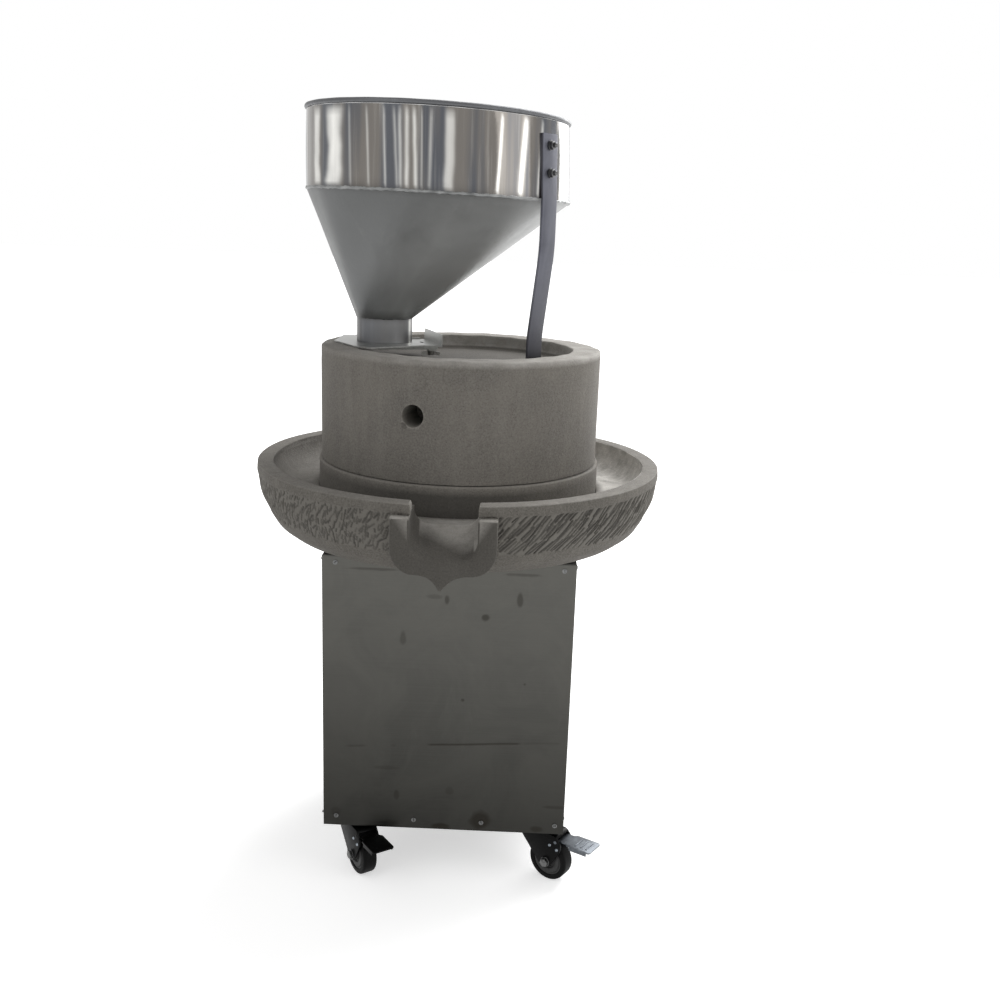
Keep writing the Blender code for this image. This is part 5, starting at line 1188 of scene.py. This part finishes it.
def caster_wheel(name, home):
    body = f"wheel_{name}"
    half = 0.012
    tyre = lathe(rounded([(0.0238, half - 0.001), (0.032, half - 0.001, 0.0045), (0.032, -half + 0.001, 0.0045),
                          (0.0238, -half + 0.001)], 6), 72, (0, 0, 0))
    spin = Matrix.Translation(AXLE) @ turned(radians(-90), "X")
    piece(f"tyre_{name}", placed(tyre, home @ spin), "tyre", body, f"caster_tyre_{name}", smooth=50)
    side = [(0.0045, half + 0.001), (0.009, half + 0.001, 0.0006), (0.0098, half - 0.0035, 0.001),
            (0.0128, half - 0.0042, 0.001), (0.0138, half - 0.0012, 0.0006), (0.0200, half - 0.0008, 0.0006),
            (0.0212, half - 0.0030, 0.0006), (0.0235, half - 0.0025)]
    rim = lathe(rounded(side + [(*p[:1], -p[1], *p[2:]) for p in reversed(side)], 3), 72, (0, 0, 0))
    piece(f"rim_{name}", placed(rim, home @ spin), "wheel_grey", body, f"caster_rim_{name}", smooth=40)


def caster_fork(name, home):
    body = f"fork_{name}"
    top, under = 0.0794, 0.0759
    inner, outer = 0.014, 0.0165
    cheek = rounded([(-0.020, top, 0.004), (-0.022, under - 0.004, 0.003), (0.0175, 0.0265, 0.008),
                     (0.0275, 0.0195, 0.009), (0.0385, 0.030, 0.010), (0.052, 0.054, 0.006),
                     (0.054, under - 0.008, 0.006), (0.044, top, 0.004)], 5)
    fork = prism(cheek, -outer, outer, UPRIGHT)
    fork = cut(fork, block((-0.1, -inner, -0.05), (0.1, inner, under)))
    fork = cut(fork, rod((0, 0, under + 0.0002), (0, 0, top - 0.0001), 0.024, 48), "UNION")
    fork = cut(fork, rod((0, 0, under - 0.02), (0, 0, top + 0.02), 0.0065, 24))
    fork = modified(fork, BEVEL={"width": 0.0006, "segments": 2, "limit_method": "ANGLE",
                                 "angle_limit": radians(40)})
    piece(f"fork_{name}_pressed", placed(fork, home), "black_paint", body, f"caster_fork_{name}", smooth=35)

    def axle_set(bm):
        for way in (-1, 1):
            along = Vector((0, way, 0))
            add_rod(bm, AXLE + along * 0.0167, AXLE + along * 0.0177, 0.0076, 28, edge=0.0002)
        add_nut(bm, AXLE + Vector((0, 0.0176, 0)), Vector((0, 1, 0)), 0.0068, 0.0040)
        add_nut(bm, AXLE - Vector((0, 0.0176, 0)), Vector((0, -1, 0)), 0.0068, 0.0045)
        add_rod(bm, AXLE - Vector((0, 0.0225, 0)), AXLE + Vector((0, 0.0200, 0)), 0.004, 24, edge=0.0005)

    axle_mesh = mesh_of(axle_set)
    mark(axle_mesh, "dull", lambda co: 0.7)
    piece(f"axle_{name}_set", placed(axle_mesh, home), "bright_steel", body, f"caster_axle_{name}", smooth=30)

    def rivets(bm):
        for x, z in ((0.0345, 0.0625), (0.0470, 0.0585)):
            for way in (-1, 1):
                add_rod(bm, (x, way * 0.0160, z), (x, way * 0.0178, z), 0.0028, 20, 0.0017)

    piece(f"rivets_{name}", placed(mesh_of(rivets), home), "zinc", body, smooth=30)


def caster_plate(name, at):
    level = CABINET_BOTTOM - 0.0003
    plate = block((-0.034, -0.034, level - 0.003), (0.034, 0.034, level))
    plate = modified(plate, BEVEL={"width": 0.0012, "segments": 2})
    race = lathe(rounded([(0.006, level - 0.002), (0.0225, level - 0.002), (0.0245, level - 0.006, 0.0015),
                          (0.023, level - 0.008, 0.001), (0.006, level - 0.008)], 4), 64, (0, 0, 0))

    def bolts(bm):
        add_rod(bm, (0, 0, level - 0.0150), (0, 0, level - 0.001), 0.006, 24)
        add_rod(bm, (0, 0, level - 0.0168), (0, 0, level - 0.0145), 0.0075, 24, edge=0.0005)
        for i in (-1, 1):
            for j in (-1, 1):
                add_nut(bm, Vector((i * 0.026, j * 0.026, level - 0.0028)), Vector((0, 0, -1)), 0.0065, 0.0036)

    whole = placed(joined(plate, race, mesh_of(bolts)), moved(at[0], at[1] + AXIS.y))
    piece(f"plate_{name}_set", whole, "black_paint", "mill_base", f"caster_plate_{name}", smooth=35)


def pedal(name, home):
    turn = home @ moved(0.044, 0, 0.0699) @ turned(radians(-2), "Y")
    outline = rounded([(-0.003, -0.0132, 0.001), (0.016, -0.0132, 0.002), (0.020, -0.017, 0.002),
                       (0.059, -0.017, 0.004), (0.059, 0.017, 0.004), (0.020, 0.017, 0.002), (0.016, 0.0132, 0.002),
                       (-0.003, 0.0132, 0.001)], 4)
    sheet = prism(outline, 0.0005, 0.0025)
    sheet = modified(sheet, BEVEL={"width": 0.0005, "segments": 2, "limit_method": "ANGLE"})
    parts = [sheet]

    def ridge(start):
        path = [Vector((start, y, 0.0024)) for y in (-0.0105, -0.006, 0.0, 0.006, 0.0105)]
        return tube_mesh(path, 0.0013, closed=False, sides=12)

    if name != "front_left":
        parts += [ridge(0.0315 + i * 0.009) for i in range(3)]

    def rest(bm):
        add_rod(bm, (0, -0.0172, 0), (0, 0.0172, 0), 0.0025, 20, edge=0.0004)
        for side in (-1, 1):
            ends = sorted((side * 0.0152, side * 0.0167))
            add_box(bm, (0.024, ends[0], -0.0045), (0.053, ends[1], 0.001))

    parts.append(mesh_of(rest))
    slot_name = "black_paint" if name == "front_left" else "zinc"
    mesh = joined(*parts)
    mark(mesh, "dull", lambda co: 0.75 if 0.028 < co.x < 0.054 and co.z < 0.0027 else 0.6)
    piece(f"pedal_{name}_pressed", placed(mesh, turn), slot_name, f"pedal_{name}", f"brake_pedal_{name}", smooth=35)


def caster(name, at, heading, braked):
    home = moved(at[0], at[1] + AXIS.y) @ turned(radians(heading))
    caster_wheel(name, home)
    caster_fork(name, home)
    caster_plate(name, at)
    if braked:
        pedal(name, home)


# Carried-over nodes


def dress_nodes():
    slots = {"top_plate": "frame_paint", "base_plate": "frame_paint", "cabinet_frame": "frame_paint",
             "back_panel": "cabinet_steel", "feed_plate": "gate_steel", "slide_gate": "gate_steel",
             "wing_screw": "bright_steel", "main_shaft": "bright_steel", "output_shaft": "bright_steel",
             "main_bearing": "bright_steel", "motor_rotor": "bright_steel", "terminal_box": "terminal_box",
             "terminal_box_cover": "terminal_box", "fan_cover": "black_plastic", "cable_gland": "black_plastic",
             "switch_bezel": "black_plastic", "switch_rocker": "black_plastic"}
    for name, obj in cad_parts.items():
        if obj.hide_render:
            continue
        finish = FINISHES[slots.get(name, "cast_iron")]
        if not obj.material_slots:
            obj.data.materials.append(finish)
        for held in obj.material_slots:
            held.material = finish


# Stage


def seen_rays(tree):
    """1 for rays that make the picture, 0 for rays that only light it."""
    path = tree.nodes.new("ShaderNodeLightPath")
    seen = calc(tree, "MAXIMUM", path.outputs["Is Camera Ray"], path.outputs["Is Glossy Ray"])
    return calc(tree, "MAXIMUM", seen, path.outputs["Is Transmission Ray"])


def stage():
    floor = scene_object("floor", mesh_of(lambda bm: bmesh.ops.create_grid(bm, size=30)))
    made, tree, shader, here = material("floor_pale", 0.9)
    shader.inputs["Base Color"].default_value = (0.8, 0.8, 0.8, 1)
    shader.inputs["Specular IOR Level"].default_value = 0.1
    seen = seen_rays(tree)
    shader.inputs["Emission Color"].default_value = (1, 1, 1, 1)
    reach = node(tree, "VectorMath", {0: here}, operation="LENGTH")
    glow = ramp(tree, reach.outputs["Value"], 0.7, 2.2, 0.5, 1.0)
    put(tree, shader.inputs["Emission Strength"], calc(tree, "MULTIPLY", seen, glow))
    floor.data.materials.append(made)

    world = bpy.data.worlds.new("studio")
    bpy.context.scene.world = world
    world.use_nodes = True
    tree = world.node_tree
    seen = seen_rays(tree)
    background = tree.nodes["Background"]
    background.inputs["Color"].default_value = (1, 1, 1, 1)
    put(tree, background.inputs["Strength"], ramp(tree, seen, 0.0, 1.0, 0.55, 1.0))

    def lamp(name, place, power, width, aim=(0, 0, 0.6)):
        light = bpy.data.lights.new(name, "AREA")
        light.energy = power
        light.size = width
        obj = scene_object(name, light)
        obj.location = place
        obj.rotation_euler = (Vector(aim) - Vector(place)).to_track_quat("-Z", "Y").to_euler()

    lamp("key", (-2.2, -2.6, 3.0), 26, 2.4)
    lamp("fill", (3.0, -1.2, 1.8), 22, 2.2)
    lamp("over", (1.2, 1.4, 3.2), 90, 2.4)
    lamp("rear", (2.2, 3.0, 2.0), 70, 2.2)


def camera():
    pitch, heading, roll = radians(14.18), radians(0.994), radians(1.984)
    forward = Vector((-sin(heading) * cos(pitch), cos(heading) * cos(pitch), -sin(pitch)))
    level = Vector((cos(heading), sin(heading), 0))
    up = level.cross(forward)
    right = level * cos(roll) + up * sin(roll)
    above = up * cos(roll) - level * sin(roll)
    turn = Matrix((right, above, -forward)).transposed().to_4x4()
    data = bpy.data.cameras.new("camera")
    data.lens = 38.76
    data.sensor_width = 36
    obj = scene_object("camera", data)
    obj.matrix_world = Matrix.Translation((0.0924, -1.6025, 0.9563)) @ turn
    bpy.context.scene.camera = obj


camera()
stage()
tray()
bed_stone()
runner_stone()
hopper()
strap()
panels()
for name, sizes in CASTERS.items():
    caster(name, *sizes)
dress_nodes()
bpy.context.scene.view_settings.view_transform = "Standard"
